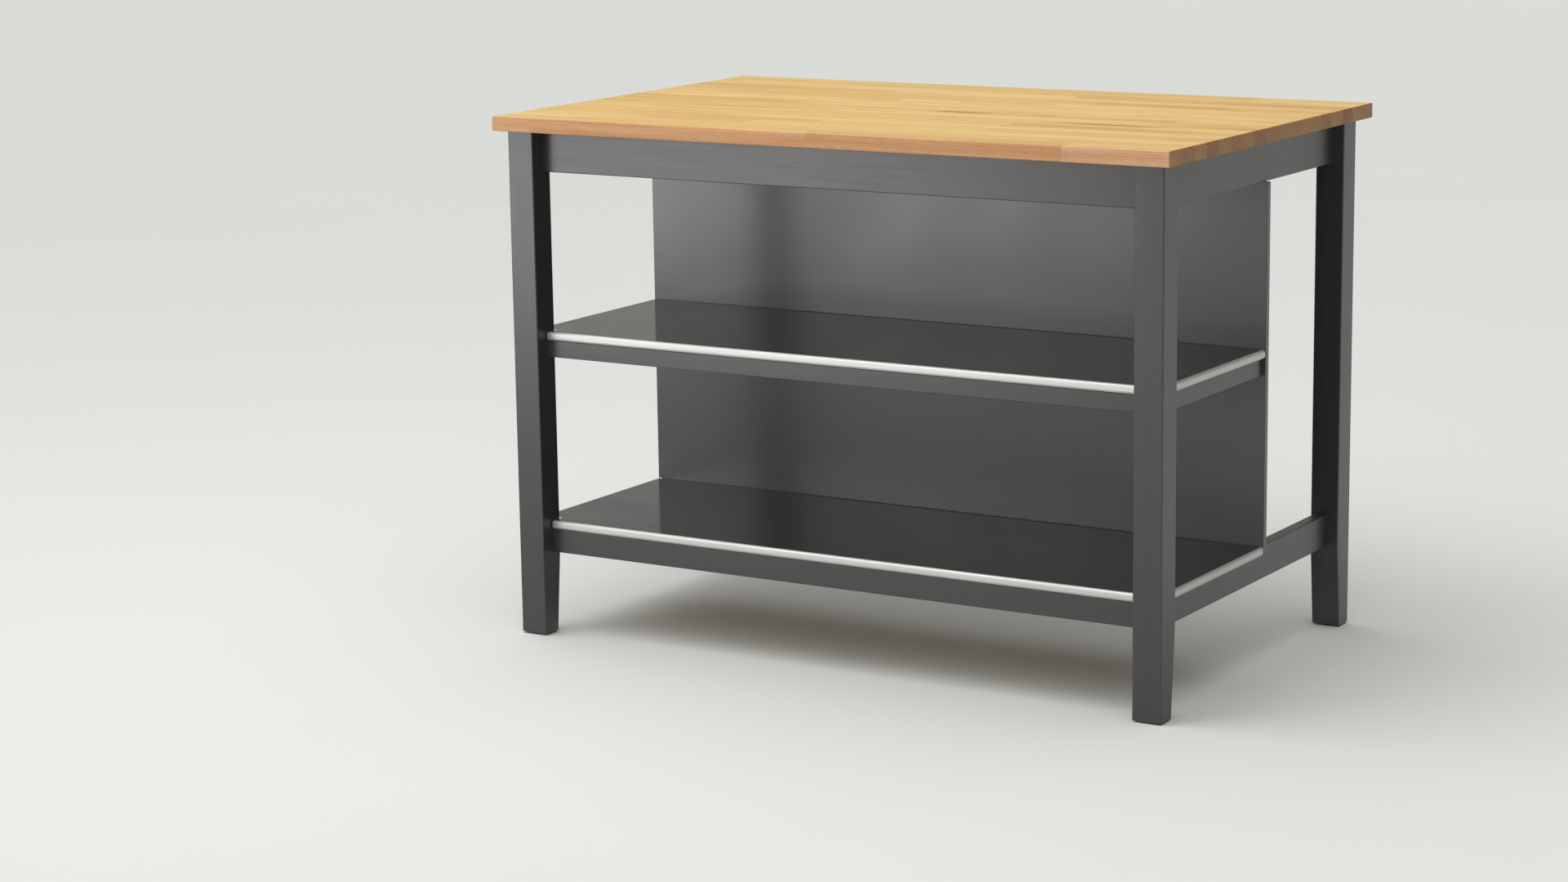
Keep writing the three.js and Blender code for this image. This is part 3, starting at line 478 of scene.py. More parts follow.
def stave_tree(material):
    """Geometry Nodes: rows of staves with staggered butt joints, flush, rounded at the rim."""
    lengths = ("Length", "Depth", "Thickness", "Underside", "Stave Length", "Stagger", "Glue Line")
    inputs = dict.fromkeys((*lengths, "Rim Radius"), "Float") | {"Rows": "Int", "Seed": "Int"}
    tree = new_tree("glued_staves", inputs)
    sizes = add(tree, "NodeGroupInput").outputs
    half_length = add(tree, "ShaderNodeMath", sizes["Length"], 2.0, operation="DIVIDE")
    half_depth = add(tree, "ShaderNodeMath", sizes["Depth"], 2.0, operation="DIVIDE")
    width = add(tree, "ShaderNodeMath", sizes["Depth"], sizes["Rows"], operation="DIVIDE")

    def chance(low, high, number, seed_step):
        seed = add(tree, "FunctionNodeIntegerMath", sizes["Seed"], seed_step, operation="ADD")
        inputs = {2: low, 3: high, "ID": number, "Seed": seed}
        return add(tree, "FunctionNodeRandomValue", inputs, data_type="FLOAT")

    # One point for each stave, row by row. Two more in a row than the length needs, because the
    # first joint may lie before the board and the last one after it.
    fitting = add(tree, "ShaderNodeMath", sizes["Length"], sizes["Stave Length"], operation="DIVIDE")
    rounded_up = add(tree, "ShaderNodeMath", fitting, operation="CEIL")
    enough = add(tree, "FunctionNodeFloatToInt", rounded_up)
    columns = add(tree, "FunctionNodeIntegerMath", enough, 2, operation="ADD")
    index = add(tree, "GeometryNodeInputIndex")
    row = add(tree, "FunctionNodeIntegerMath", index, columns, operation="DIVIDE_FLOOR")
    column = add(tree, "FunctionNodeIntegerMath", index, columns, operation="FLOORED_MODULO")

    def joint(offset):
        number = add(tree, "FunctionNodeIntegerMath", column, offset, operation="ADD")
        earlier = add(tree, "FunctionNodeIntegerMath", row, MOST_STAVES_IN_A_ROW, operation="MULTIPLY")
        key = add(tree, "FunctionNodeIntegerMath", earlier, number, operation="ADD")
        stray = chance(-1.0, 1.0, key, 0)
        stagger = add(tree, "ShaderNodeMath", stray, sizes["Stagger"], operation="MULTIPLY")
        row_start = add(tree, "ShaderNodeMath", chance(0.0, 1.0, row, 1), stagger, operation="ADD")
        steps = add(tree, "ShaderNodeMath", number, row_start, operation="ADD")
        # A row's first joint lies half a stave to one and a half staves before the board, and strays.
        early = add(tree, "ShaderNodeMath", steps, 1.5, operation="SUBTRACT")
        along = add(tree, "ShaderNodeMath", early, sizes["Stave Length"], operation="MULTIPLY")
        start = add(tree, "ShaderNodeMath", along, half_length, operation="SUBTRACT")
        least = add(tree, "ShaderNodeMath", half_length, -1.0, operation="MULTIPLY")
        on_board = add(tree, "ShaderNodeMath", start, least, operation="MAXIMUM")
        return add(tree, "ShaderNodeMath", on_board, half_length, operation="MINIMUM")

    start, end = joint(0), joint(1)
    length = add(tree, "ShaderNodeMath", end, start, operation="SUBTRACT")
    both_ends = add(tree, "ShaderNodeMath", start, end, operation="ADD")
    middle_x = add(tree, "ShaderNodeMath", both_ends, 2.0, operation="DIVIDE")
    half_row_on = add(tree, "ShaderNodeMath", row, 0.5, operation="ADD")
    row_middle = add(tree, "ShaderNodeMath", half_row_on, width, operation="MULTIPLY")
    middle_y = add(tree, "ShaderNodeMath", row_middle, half_depth, operation="SUBTRACT")
    half_thickness = add(tree, "ShaderNodeMath", sizes["Thickness"], 2.0, operation="DIVIDE")
    middle_z = add(tree, "ShaderNodeMath", sizes["Underside"], half_thickness, operation="ADD")
    middle = add(tree, "ShaderNodeCombineXYZ", middle_x, middle_y, middle_z)
    glued_length = add(tree, "ShaderNodeMath", length, sizes["Glue Line"], operation="SUBTRACT")
    glued_width = add(tree, "ShaderNodeMath", width, sizes["Glue Line"], operation="SUBTRACT")
    size = add(tree, "ShaderNodeCombineXYZ", glued_length, glued_width, sizes["Thickness"])
    # Where a stave lay in its log, in metres: along it, and across it from the pith.
    log_spans = ((-4.0, 4.0), (-0.35, 0.35), (0.03, 0.16))
    log_place = [chance(*span, index, seed_step) for seed_step, span in enumerate(log_spans, 2)]
    shift = add(tree, "ShaderNodeCombineXYZ", *log_place)

    count = add(tree, "FunctionNodeIntegerMath", sizes["Rows"], columns, operation="MULTIPLY")
    points = add(tree, "GeometryNodePoints", {"Count": count})
    tone = chance(0.0, 1.0, index, 5)
    vectors = {"stave_middle": middle, "stave_size": size, "stave_shift": shift}
    for name, value in (vectors | {"stave_tone": tone}).items():
        kind = "FLOAT_VECTOR" if name in vectors else "FLOAT"
        inputs = {"Geometry": points, "Name": name, "Value": value}
        points = add(tree, "GeometryNodeStoreNamedAttribute", inputs, data_type=kind)
    vanished = add(tree, "FunctionNodeCompare", length, 1 * MM, operation="LESS_THAN")
    kept = add(tree, "GeometryNodeDeleteGeometry", {"Geometry": points, "Selection": vanished})
    cuts = {f"Vertices {axis}": 6 for axis in "XYZ"}
    cube = add(tree, "GeometryNodeMeshCube", {"Size": (1.0, 1.0, 1.0)} | cuts)
    here = add(tree, "GeometryNodeInputPosition")
    inputs = {"Geometry": cube, "Name": "stave_unit", "Value": here}
    cube = add(tree, "GeometryNodeStoreNamedAttribute", inputs, data_type="FLOAT_VECTOR")
    placed = add(tree, "GeometryNodeInstanceOnPoints", {"Points": kept, "Instance": cube})
    solid = add(tree, "GeometryNodeRealizeInstances", {"Geometry": placed})

    # Each cube has six lines a side, 0.2 apart. Three at each end, 0.4 in all, are drawn into the
    # width of the rim's arc.
    unit, stave_size, stave_middle = (
        add(tree, "GeometryNodeInputNamedAttribute", {"Name": name}, data_type="FLOAT_VECTOR")
        for name in ("stave_unit", "stave_size", "stave_middle")
    )
    outwards = add(tree, "ShaderNodeVectorMath", unit, operation="ABSOLUTE")
    inwards = add(tree, "ShaderNodeVectorMath", (0.5, 0.5, 0.5), outwards, operation="SUBTRACT")
    rim_step = add(tree, "ShaderNodeMath", sizes["Rim Radius"], 0.4, operation="DIVIDE")
    inset = add(tree, "ShaderNodeVectorMath", inwards, {"Scale": rim_step}, operation="SCALE")
    half_stave = add(tree, "ShaderNodeVectorMath", stave_size, {"Scale": 0.5}, operation="SCALE")
    reach = add(tree, "ShaderNodeVectorMath", half_stave, inset, operation="SUBTRACT")
    octant = add(tree, "ShaderNodeVectorMath", unit, operation="SIGN")
    offset = add(tree, "ShaderNodeVectorMath", octant, reach, operation="MULTIPLY")
    corner = add(tree, "ShaderNodeVectorMath", stave_middle, offset, operation="ADD")
    # The board's rim is rounded: what lies past its core box moves onto an arc round it.
    board_middle = add(tree, "ShaderNodeCombineXYZ", {2: middle_z})
    half_board = add(tree, "ShaderNodeCombineXYZ", half_length, half_depth, half_thickness)
    rim = add(tree, "ShaderNodeCombineXYZ", dict.fromkeys(range(3), sizes["Rim Radius"]))
    core = add(tree, "ShaderNodeVectorMath", half_board, rim, operation="SUBTRACT")
    from_middle = add(tree, "ShaderNodeVectorMath", corner, board_middle, operation="SUBTRACT")
    low_core = add(tree, "ShaderNodeVectorMath", core, {"Scale": -1.0}, operation="SCALE")
    over_low = add(tree, "ShaderNodeVectorMath", from_middle, low_core, operation="MAXIMUM")
    clamped = add(tree, "ShaderNodeVectorMath", over_low, core, operation="MINIMUM")
    past = add(tree, "ShaderNodeVectorMath", from_middle, clamped, operation="SUBTRACT")
    how_far = add(tree, "ShaderNodeVectorMath", past, operation="ABSOLUTE")
    parts = add(tree, "ShaderNodeSeparateXYZ", how_far).outputs
    further = add(tree, "ShaderNodeMath", parts[1], parts[2], operation="MAXIMUM")
    furthest = add(tree, "ShaderNodeMath", parts[0], further, operation="MAXIMUM")
    aim = add(tree, "ShaderNodeVectorMath", past, operation="NORMALIZE")
    onto_arc = add(tree, "ShaderNodeVectorMath", aim, {"Scale": furthest}, operation="SCALE")
    from_board = add(tree, "ShaderNodeVectorMath", clamped, onto_arc, operation="ADD")
    rounded = add(tree, "ShaderNodeVectorMath", from_board, board_middle, operation="ADD")
    solid = add(tree, "GeometryNodeSetPosition", {"Geometry": solid, "Position": rounded})

    normal = add(tree, "GeometryNodeInputNormal")
    facing = add(tree, "ShaderNodeVectorMath", normal, operation="ABSOLUTE")
    along = add(tree, "ShaderNodeSeparateXYZ", facing).outputs
    # Marks the end faces, and the front and back faces that take the painted shade.
    for name, part in (("end_grain", 0), ("side_grain", 1)):
        marked = add(tree, "ShaderNodeMath", along[part], 0.5, operation="GREATER_THAN")
        inputs = {"Geometry": solid, "Name": name, "Value": marked}
        kinds = {"data_type": "FLOAT", "domain": "FACE"}
        solid = add(tree, "GeometryNodeStoreNamedAttribute", inputs, **kinds)
    for name in ("stave_unit", "stave_middle", "stave_size"):
        solid = add(tree, "GeometryNodeRemoveAttribute", {"Geometry": solid, "Name": name})
    turn = add(tree, "GeometryNodeInputMeshEdgeAngle")
    gentle = add(tree, "FunctionNodeCompare", turn, math.radians(40), operation="LESS_THAN")
    smooth = {"Geometry": solid, "Shade Smooth": gentle}
    solid = add(tree, "GeometryNodeSetShadeSmooth", smooth, domain="EDGE")
    return end_tree(tree, solid, material)


def run_tree(tree, name, values, base=None):
    """Runs a node tree on an object and returns its result as a plain piece."""
    holder = bpy.data.objects.new("holder", base or bpy.data.meshes.new("holder"))
    bpy.context.scene.collection.objects.link(holder)
    modifier = holder.modifiers.new("nodes", "NODES")
    modifier.node_group = tree
    items = tree.interface.items_tree
    sockets = {item.name: item.identifier for item in items if item.in_out == "INPUT"}
    for label, value in values.items():
        modifier[sockets[label]] = value
    ready = holder.evaluated_get(bpy.context.evaluated_depsgraph_get())
    mesh = bpy.data.meshes.new_from_object(ready)
    if not mesh.polygons:
        raise RuntimeError(f"the nodes for {name} made no faces")
    mesh.name = name
    bpy.data.objects.remove(holder)
    piece = bpy.data.objects.new(name, mesh)
    bpy.context.scene.collection.objects.link(piece)
    return piece


class TableWorktop(bpy.types.PropertyGroup):
    """Sizes and colours of the worktop."""

    rows: IntProperty(
        name="Rows", description="Rows of staves from front to back", default=18, min=1)
    stave_length: length_setting("Stave length", "Mean length of a stave", 0.42, 0.1)
    stagger: FloatProperty(
        name="Stagger", description="How far a joint strays, as a share of a stave",
        default=0.33, min=0.0, max=0.45, subtype="FACTOR")
    glue_line: length_setting("Glue line", "Gap between staves", 0.03 * MM)
    rim_radius: length_setting("Rim radius", "Rounding of the board's edges", 2.2 * MM, 0.1 * MM)
    ring_width: length_setting("Ring width", "Width of a year's growth", 4.2 * MM, 0.1 * MM)
    seed: IntProperty(name="Seed", description="Picks another set of staves", default=11)
    stave_light: colour_setting("Light staves", "Palest oak", "#dfc283")
    stave_honey: colour_setting("Honey staves", "Commonest oak", "#d9ba75")
    stave_brown: colour_setting("Brown staves", "Browner oak", "#cfab66")
    fleck: colour_setting("Fleck", "Mineral flecks in the oak", "#93702f")
    long_fleck: FloatVectorProperty(
        name="Long fleck", description="Middle of the longer fleck",
        subtype="TRANSLATION", default=(0.38, -0.1, 0.9))
    long_fleck_reach: FloatVectorProperty(
        name="Long fleck's reach", description="Half its length, width and depth",
        subtype="XYZ_LENGTH", default=(120 * MM, 9 * MM, 30 * MM))
    short_fleck: FloatVectorProperty(
        name="Short fleck", description="Middle of the shorter fleck",
        subtype="TRANSLATION", default=(0.065, -0.02, 0.9))
    short_fleck_reach: FloatVectorProperty(
        name="Short fleck's reach", description="Half its length, width and depth",
        subtype="XYZ_LENGTH", default=(65 * MM, 9 * MM, 30 * MM))
    streak: colour_setting("Streaks", "Tint of late wood", "#d4b083")
    pore: colour_setting("Pores", "Oil-filled pores", "#7a5128")
    # The side tint is painted shade: it darkens and reddens the board's front and back faces.
    side_grain: colour_setting("Side grain", "Tint of the planed front and back", "#e4cce2")
    end_grain: colour_setting("End grain", "Tint of the sawn ends", "#9b6d62")


class TABLE_OT_worktop(bpy.types.Operator):
    """Make the board of glued oak staves"""

    bl_idname = "table.worktop"
    bl_label = "Worktop"

    def execute(self, context):
        settings = context.scene.table_worktop
        low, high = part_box("worktop")
        size = high - low
        values = {
            "Length": size.x, "Depth": size.y, "Thickness": size.z, "Underside": low.z,
            "Stave Length": settings.stave_length, "Stagger": settings.stagger,
            "Glue Line": settings.glue_line, "Rim Radius": settings.rim_radius,
            "Rows": settings.rows, "Seed": settings.seed,
        }
        tree = stave_tree(oiled_oak(settings))
        stands_for(run_tree(tree, "worktop_staves", values), "worktop")
        return {"FINISHED"}


# ------------------------------------------------------------------ wooden frame


class TableFrame(bpy.types.PropertyGroup):
    """Sizes and colours of the wooden frame and the back panel."""

    leg_radius: length_setting("Leg edges", "Rounding of the legs' edges", 2.0 * MM, 0.1 * MM)
    rail_radius: length_setting("Rail edges", "Rounding of the rails' edges", 1.5 * MM, 0.1 * MM)
    panel_radius: length_setting("Panel edges", "Rounding of the panel's edges", 1.0 * MM, 0.1 * MM)
    shortest: length_setting("Shortest edge", "Only longer edges are rounded", 0.1)
    lacquer_colour: colour_setting("Lacquer", "Stain and lacquer of the frame", "#2c2b2d")
    lacquer_roughness: FloatProperty(
        name="Lacquer sheen", description="Roughness of the film",
        default=0.42, min=0.05, max=0.9, subtype="FACTOR")
    board_colour: colour_setting("Panel", "Lacquer of the back panel", "#302e30")


class TABLE_OT_wooden_frame(bpy.types.Operator):
    """Make the legs and every rail, with eased edges and grain along their length"""

    bl_idname = "table.wooden_frame"
    bl_label = "Legs and rails"

    def execute(self, context):
        settings = context.scene.table_frame
        colour, roughness = settings.lacquer_colour, settings.lacquer_roughness
        grain_x, grain_y, grain_z = (
            lacquered_wood(f"lacquered_birch_grain_{letter}", colour, roughness, axis)
            for axis, letter in enumerate("xyz")
        )
        legs = [f"leg_{row}_{side}" for row in ROWS for side in SIDES]
        side_rails = [f"{rail}_{side}" for rail in SIDE_RAILS for side in SIDES]
        groups = (
            (legs, settings.leg_radius, grain_z),
            (side_rails, settings.rail_radius, grain_y),
            ([*LONG_RAILS, *CROSS_RAILS], settings.rail_radius, grain_x),
        )
        for nodes, radius, material in groups:
            for node in nodes:
                piece = eased_copy(node, f"{node}_eased", radius, settings.shortest, material)
                stands_for(piece, node)
        return {"FINISHED"}


class TABLE_OT_back_panel(bpy.types.Operator):
    """Make the panel between the shelves and the knee space"""

    bl_idname = "table.back_panel"
    bl_label = "Back panel"

    def execute(self, context):
        settings = context.scene.table_frame
        radius, shortest = settings.panel_radius, settings.shortest
        material = lacquered_board(settings)
        piece = eased_copy("back_panel", "back_panel_eased", radius, shortest, material)
        stands_for(piece, "back_panel")
        return {"FINISHED"}


# ------------------------------------------------------------------ shelves


class TableShelves(bpy.types.PropertyGroup):
    """Sizes and colours of the steel-clad shelves."""

    sheet: length_setting("Sheet thickness", "Thickness of the steel", 1.0 * MM, 0.1 * MM)
    roll: length_setting("Roll", "Radius of the rolled edge", 5.0 * MM, 1.1 * MM)
    fold: length_setting("Fold", "Steel turned back under the board", 16 * MM, 1 * MM)
    corner: length_setting("Corner", "Radius of the corners seen from above", 3.0 * MM, 1.1 * MM)
    leg_gap: length_setting("Leg gap", "Gap round the front legs", 0.5 * MM)
    # The sheet's dark colour is painted shade: it dims the sheet's mirror.
    sheet_shaded_colour: colour_setting("Sheet colour", "Flat of the sheet", "#9c9c9b")
    sheet_grazing: colour_setting("Sheet, grazing", "What is left of its mirror at a low angle", "#d8d8d8")
    # The rolled edge's pale colour is a painted highlight on the same steel as the sheet.
    edge_highlight_colour: colour_setting("Rolled edge", "Rolled edge of the sheet", "#d0d0cd")


def shelf_plan(node, leg_gap, inset, corner):
    """The shelf's outline from above, drawn in by an inset, with rounded corners."""
    low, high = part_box(node)
    leg_low, leg_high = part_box("leg_front_right")
    nose_x, notch_y = leg_low.x - leg_gap, leg_high.y + leg_gap
    wing_x, nose_y, back_y = high.x, low.y, high.y
    # Each corner, with the directions of the edge that comes in and the edge that goes on.
    turns = [
        ((-nose_x, nose_y), (0, -1), (1, 0)), ((nose_x, nose_y), (1, 0), (0, 1)),
        ((nose_x, notch_y), (0, 1), (1, 0)), ((wing_x, notch_y), (1, 0), (0, 1)),
        ((wing_x, back_y), (0, 1), (-1, 0)), ((-wing_x, back_y), (-1, 0), (0, -1)),
        ((-wing_x, notch_y), (0, -1), (1, 0)), ((-nose_x, notch_y), (1, 0), (0, -1)),
    ]
    outline = []
    for point, coming, going in turns:
        coming, going = Vector(coming), Vector(going)
        left_turn = coming.cross(going) > 0
        inward = going - coming
        place = Vector(point) + (inward if left_turn else -inward) * inset
        radius = max(corner - inset, 0.2 * MM) if left_turn else corner + inset
        centre = place + inward * radius
        for angle in quarter_turn(4):
            spoke = coming * math.sin(angle) - going * math.cos(angle)
            outline.append(centre + spoke * radius)
    return outline


def steel_skin(node, name, settings, shaded_flat_steel, painted_highlight_steel):
    """The sheet over a shelf: flat on top, rolled over every edge and folded back underneath."""
    low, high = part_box(node)
    sheet, roll = settings.sheet, settings.roll

    def ring(inset, height):
        plan = shelf_plan(node, settings.leg_gap, inset, settings.corner)
        return [Vector((x, y, height)) for x, y in plan]

    def roll_over(radius, inset, bottom, top):
        arc = [(radius * (1 - math.sin(a)), radius * (1 - math.cos(a))) for a in quarter_turn(6)]
        under = [ring(inset + across, bottom + up) for across, up in arc]
        over = [ring(inset + across, top - down) for down, across in arc]
        return under + over

    outside = roll_over(roll, 0.0, low.z, high.z)
    inside = roll_over(roll - sheet, sheet, low.z + sheet, high.z - sheet)
    rings = inside[::-1] + [ring(settings.fold, low.z + sheet), ring(settings.fold, low.z)] + outside
    work = bmesh.new()
    bands = loft(work, rings)
    bmesh.ops.recalc_face_normals(work, faces=work.faces)
    smooth_but_sharp(work)
    # The last bands of the loft are the outside of the roll, which take the paler steel of the painted
    # highlight.
    for band in bands[-(len(outside) - 1):]:
        for face in band:
            face.material_index = 1
    piece = new_piece(name, work, [shaded_flat_steel, painted_highlight_steel])
    keep_flats_flat(piece)
    return piece


class TABLE_OT_shelves(bpy.types.Operator):
    """Make the two shelves' steel skins and finish the boards inside them"""

    bl_idname = "table.shelves"
    bl_label = "Shelves"

    def execute(self, context):
        settings = context.scene.table_shelves
        shaded_flat_steel, painted_highlight_steel = stainless_sheet(settings), steel_edge_painted_highlight(settings)
        board = pressed_chipboard()
        for shelf in SHELVES:
            node = f"{shelf}_shelf_skin"
            piece = steel_skin(node, f"{shelf}_shelf_steel", settings, shaded_flat_steel, painted_highlight_steel)
            stands_for(piece, node)
            finish_node(f"{shelf}_shelf_core", board)
        return {"FINISHED"}


# ------------------------------------------------------------------ fittings


def finish_node(node, material):
    """Gives a CAD piece that stays its finish."""
    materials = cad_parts[node].data.materials
    materials.clear()
    materials.append(material)


class TableFittings(bpy.types.PropertyGroup):
    """Sizes of the small fittings."""

    bracket_radius: length_setting("Bracket edges", "Rounding of the brackets", 0.6 * MM, 0.1 * MM)
    screw_head: length_setting("Screw head", "Radius of the brackets' screw heads", 3.6 * MM, 1 * MM)
    screw_dome: length_setting("Screw dome", "Height of the brackets' screw heads", 2.2 * MM, 0.5 * MM)


def screw_tree(material):
    """Geometry Nodes: a domed cross-head screw on every point, turned to the point's axis."""
    inputs = {"Geometry": "Geometry", "Head Radius": "Float", "Dome Height": "Float"}
    tree = new_tree("domed_screws", inputs)
    sizes = add(tree, "NodeGroupInput").outputs
    # A ball squashed to the dome's height, with its lower half drawn up to a flat seat.
    ball = add(tree, "GeometryNodeMeshUVSphere", {"Segments": 24, "Rings": 16, "Radius": 1.0})
    parts = add(tree, "ShaderNodeSeparateXYZ", add(tree, "GeometryNodeInputPosition")).outputs
    seated = add(tree, "ShaderNodeMath", parts[2], -0.15, operation="MAXIMUM")
    spots = [
        add(tree, "ShaderNodeMath", part, sizes[size], operation="MULTIPLY")
        for part, size in ((parts[0], "Head Radius"), (parts[1], "Head Radius"), (seated, "Dome Height"))
    ]
    spot = add(tree, "ShaderNodeCombineXYZ", *spots)
    recessed = add(tree, "GeometryNodeSetPosition", {"Geometry": ball, "Position": spot})
    span = add(tree, "ShaderNodeMath", sizes["Head Radius"], 1.1, operation="MULTIPLY")
    slot_width = add(tree, "ShaderNodeMath", sizes["Head Radius"], 0.22, operation="MULTIPLY")
    lift = add(tree, "ShaderNodeCombineXYZ", {2: sizes["Dome Height"]})
    for long_side, short_side in ((0, 1), (1, 0)):
        spans = {long_side: span, short_side: slot_width, 2: sizes["Dome Height"]}
        size = add(tree, "ShaderNodeCombineXYZ", spans)
        box = add(tree, "GeometryNodeMeshCube", {"Size": size})
        slot = add(tree, "GeometryNodeTransform", {"Geometry": box, "Translation": lift})
        both = {"Mesh 1": recessed, "Mesh 2": slot}
        recessed = add(tree, "GeometryNodeMeshBoolean", both, operation="DIFFERENCE")
    stored = {"Name": "screw_axis"}
    axis = add(tree, "GeometryNodeInputNamedAttribute", stored, data_type="FLOAT_VECTOR")
    turned = add(tree, "FunctionNodeAlignRotationToVector", {"Vector": axis}, axis="Z")
    inputs = {"Points": sizes["Geometry"], "Instance": recessed, "Rotation": turned}
    placed = add(tree, "GeometryNodeInstanceOnPoints", inputs)
    return end_tree(tree, placed, material)


def bracket_screws():
    """The place and outward axis of each screw head that sits on an angle bracket."""
    places = []
    for node in sorted(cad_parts):
        if not node.startswith("top_bracket"):
            continue
        low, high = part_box(node)
        middle = (low + high) / 2
        # The bracket's upright leaf is on its outer side, away from the table's middle line.
        direction = Vector((0, -1, 0)) if "front" in node else Vector((0, 1, 0))
        if "side" in node:
            direction = Vector((-1, 0, 0)) if "left" in node else Vector((1, 0, 0))
        leaf = 2.5 * MM
        leg = high.z - low.z
        reach = leg / 2 - leaf
        upright = Vector((middle.x, middle.y, high.z - (leg + leaf) / 2)) + direction * reach
        level = Vector((middle.x, middle.y, high.z - leaf)) - direction * (leaf / 2)
        places += [(upright, -direction), (level, Vector((0, 0, -1)))]
    return places


def foot_glide(node, name, material):
    """A round moulded glide with a soft rim and a dished middle, on its pin."""
    low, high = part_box(node)
    middle = (low + high) / 2
    radius = (high.x - low.x) / 2
    pin, point, head, crown = 2.5 * MM, 1 * MM, 3 * MM, 0.3 * MM
    rim, dish = 0.9 * MM, 0.5 * MM
    profile = [(4.0 * MM, dish), (5.2 * MM, 0.0)]
    turns = (0, 0.4, 0.8, 1.2, math.pi / 2)
    profile += [(radius - rim * (1 - math.sin(a)), rim * (1 - math.cos(a))) for a in turns]
    profile += [(radius, head - crown), (radius - crown, head), (pin, head), (pin, high.z - point)]
    profile.append((pin - point, high.z))
    work = bmesh.new()
    foot = Vector((middle.x, middle.y, 0))
    loft(work, [[spot + foot for spot in circle(r, z, 48)] for r, z in profile])
    bmesh.ops.recalc_face_normals(work, faces=work.faces)
    smooth_but_sharp(work)
    piece = new_piece(name, work, [material])
    keep_flats_flat(piece)
    return piece


class TABLE_OT_fittings(bpy.types.Operator):
    """Make the glides, brackets and their screws, and finish the cams, dowels and panel screws"""

    bl_idname = "table.fittings"
    bl_label = "Fittings"

    def execute(self, context):
        settings = context.scene.table_fittings
        zinc, beech, plastic = zinc_plate(), raw_beech(), moulded_glide()
        for node in sorted(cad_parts):
            if node.startswith(("cam_", "panel_screw")):
                finish_node(node, zinc)
            elif node.startswith("dowel"):
                finish_node(node, beech)
            elif node.startswith("foot_glide"):
                stands_for(foot_glide(node, f"{node}_moulded", plastic), node)
            elif node.startswith("top_bracket"):
                piece = eased_copy(node, f"{node}_pressed", settings.bracket_radius, 10 * MM, zinc)
                stands_for(piece, node)
        places = bracket_screws()
        points = bpy.data.meshes.new("screw_points")
        points.from_pydata([place for place, _ in places], [], [])
        axes = points.attributes.new("screw_axis", "FLOAT_VECTOR", "POINT")
        for entry, (_, axis) in zip(axes.data, places):
            entry.vector = axis
        values = {"Head Radius": settings.screw_head, "Dome Height": settings.screw_dome}
        screws = run_tree(screw_tree(zinc), "bracket_screws", values, points)
        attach(screws, BODY)
        return {"FINISHED"}


# ------------------------------------------------------------------ stage


class TableStage(bpy.types.PropertyGroup):
    """Floor, lights and camera."""

    floor_colour: colour_setting("Floor", "Floor and wall", "#d4d6d3")
    room_radius: length_setting("Room", "Radius of the round room", 28.0, 8.0)
    azimuth: FloatProperty(
        name="Azimuth", description="Camera's turn round the table",
        default=math.radians(31.94), subtype="ANGLE")
    elevation: FloatProperty(
        name="Elevation", description="Camera's height over the horizon",
        default=math.radians(11.27), subtype="ANGLE")
    roll: FloatProperty(
        name="Roll", description="Camera's lean", default=math.radians(0.86), subtype="ANGLE")
    distance: length_setting("Distance", "Camera to its target", 6.13, 1.0)
    lens: FloatProperty(
        name="Lens", description="Focal length", default=79.7, min=10.0, unit="CAMERA")
    target: FloatVectorProperty(
        name="Target", description="Where the camera looks",
        subtype="TRANSLATION", default=(-0.3046, 0.0, 0.3015))
    card_power: FloatProperty(
        name="Front card", description="Standing front left softbox", default=2.5, unit="POWER")
    overhead_power: FloatProperty(
        name="Overhead", description="Softbox above the front left", default=32.0, unit="POWER")
    sky_even: FloatProperty(name="Even sky", description="Light from every side", default=0.15)
    sky_peak: FloatProperty(name="Sky peak", description="Soft light from overhead", default=1.8)
    sky_lean: FloatVectorProperty(
        name="Sky lean", description="Middle of the overhead light",
        subtype="DIRECTION", default=(-0.22, -0.26, 0.94))


def room(settings):
    """A round floor that curves up into a wall, so that no horizon shows from any side."""
    radius, bend, wall = settings.room_radius, 4.0, 7.0
    flat = radius - bend
    profile = [(share * flat, 0.0) for share in (0.01, 0.5, 1.0)]
    arc = quarter_turn(12)[1:]
    profile += [(flat + bend * math.sin(a), bend * (1 - math.cos(a))) for a in arc]
    profile.append((radius, wall))
    work = bmesh.new()
    loft(work, [circle(r, z, 96) for r, z in profile], close_end=False)
    bmesh.ops.recalc_face_normals(work, faces=work.faces)
    bmesh.ops.reverse_faces(work, faces=work.faces)
    for face in work.faces:
        face.smooth = True
    floor = new_piece("studio_floor", work, [pale_floor(settings)])


def softbox(name, power):
    """A rectangular area light that looks at a point and that the camera doesn't see."""
    place, target, size, spread_angle = SOFTBOXES[name]
    light = bpy.data.lights.new(name, "AREA")
    light.shape = "RECTANGLE"
    light.size, light.size_y = size
    light.energy = power
    light.spread = spread_angle
    lamp = bpy.data.objects.new(name, light)
    lamp.location = place
    lamp.rotation_euler = (Vector(target) - Vector(place)).to_track_quat("-Z", "Y").to_euler()
    lamp.visible_camera = False
    bpy.context.scene.collection.objects.link(lamp)


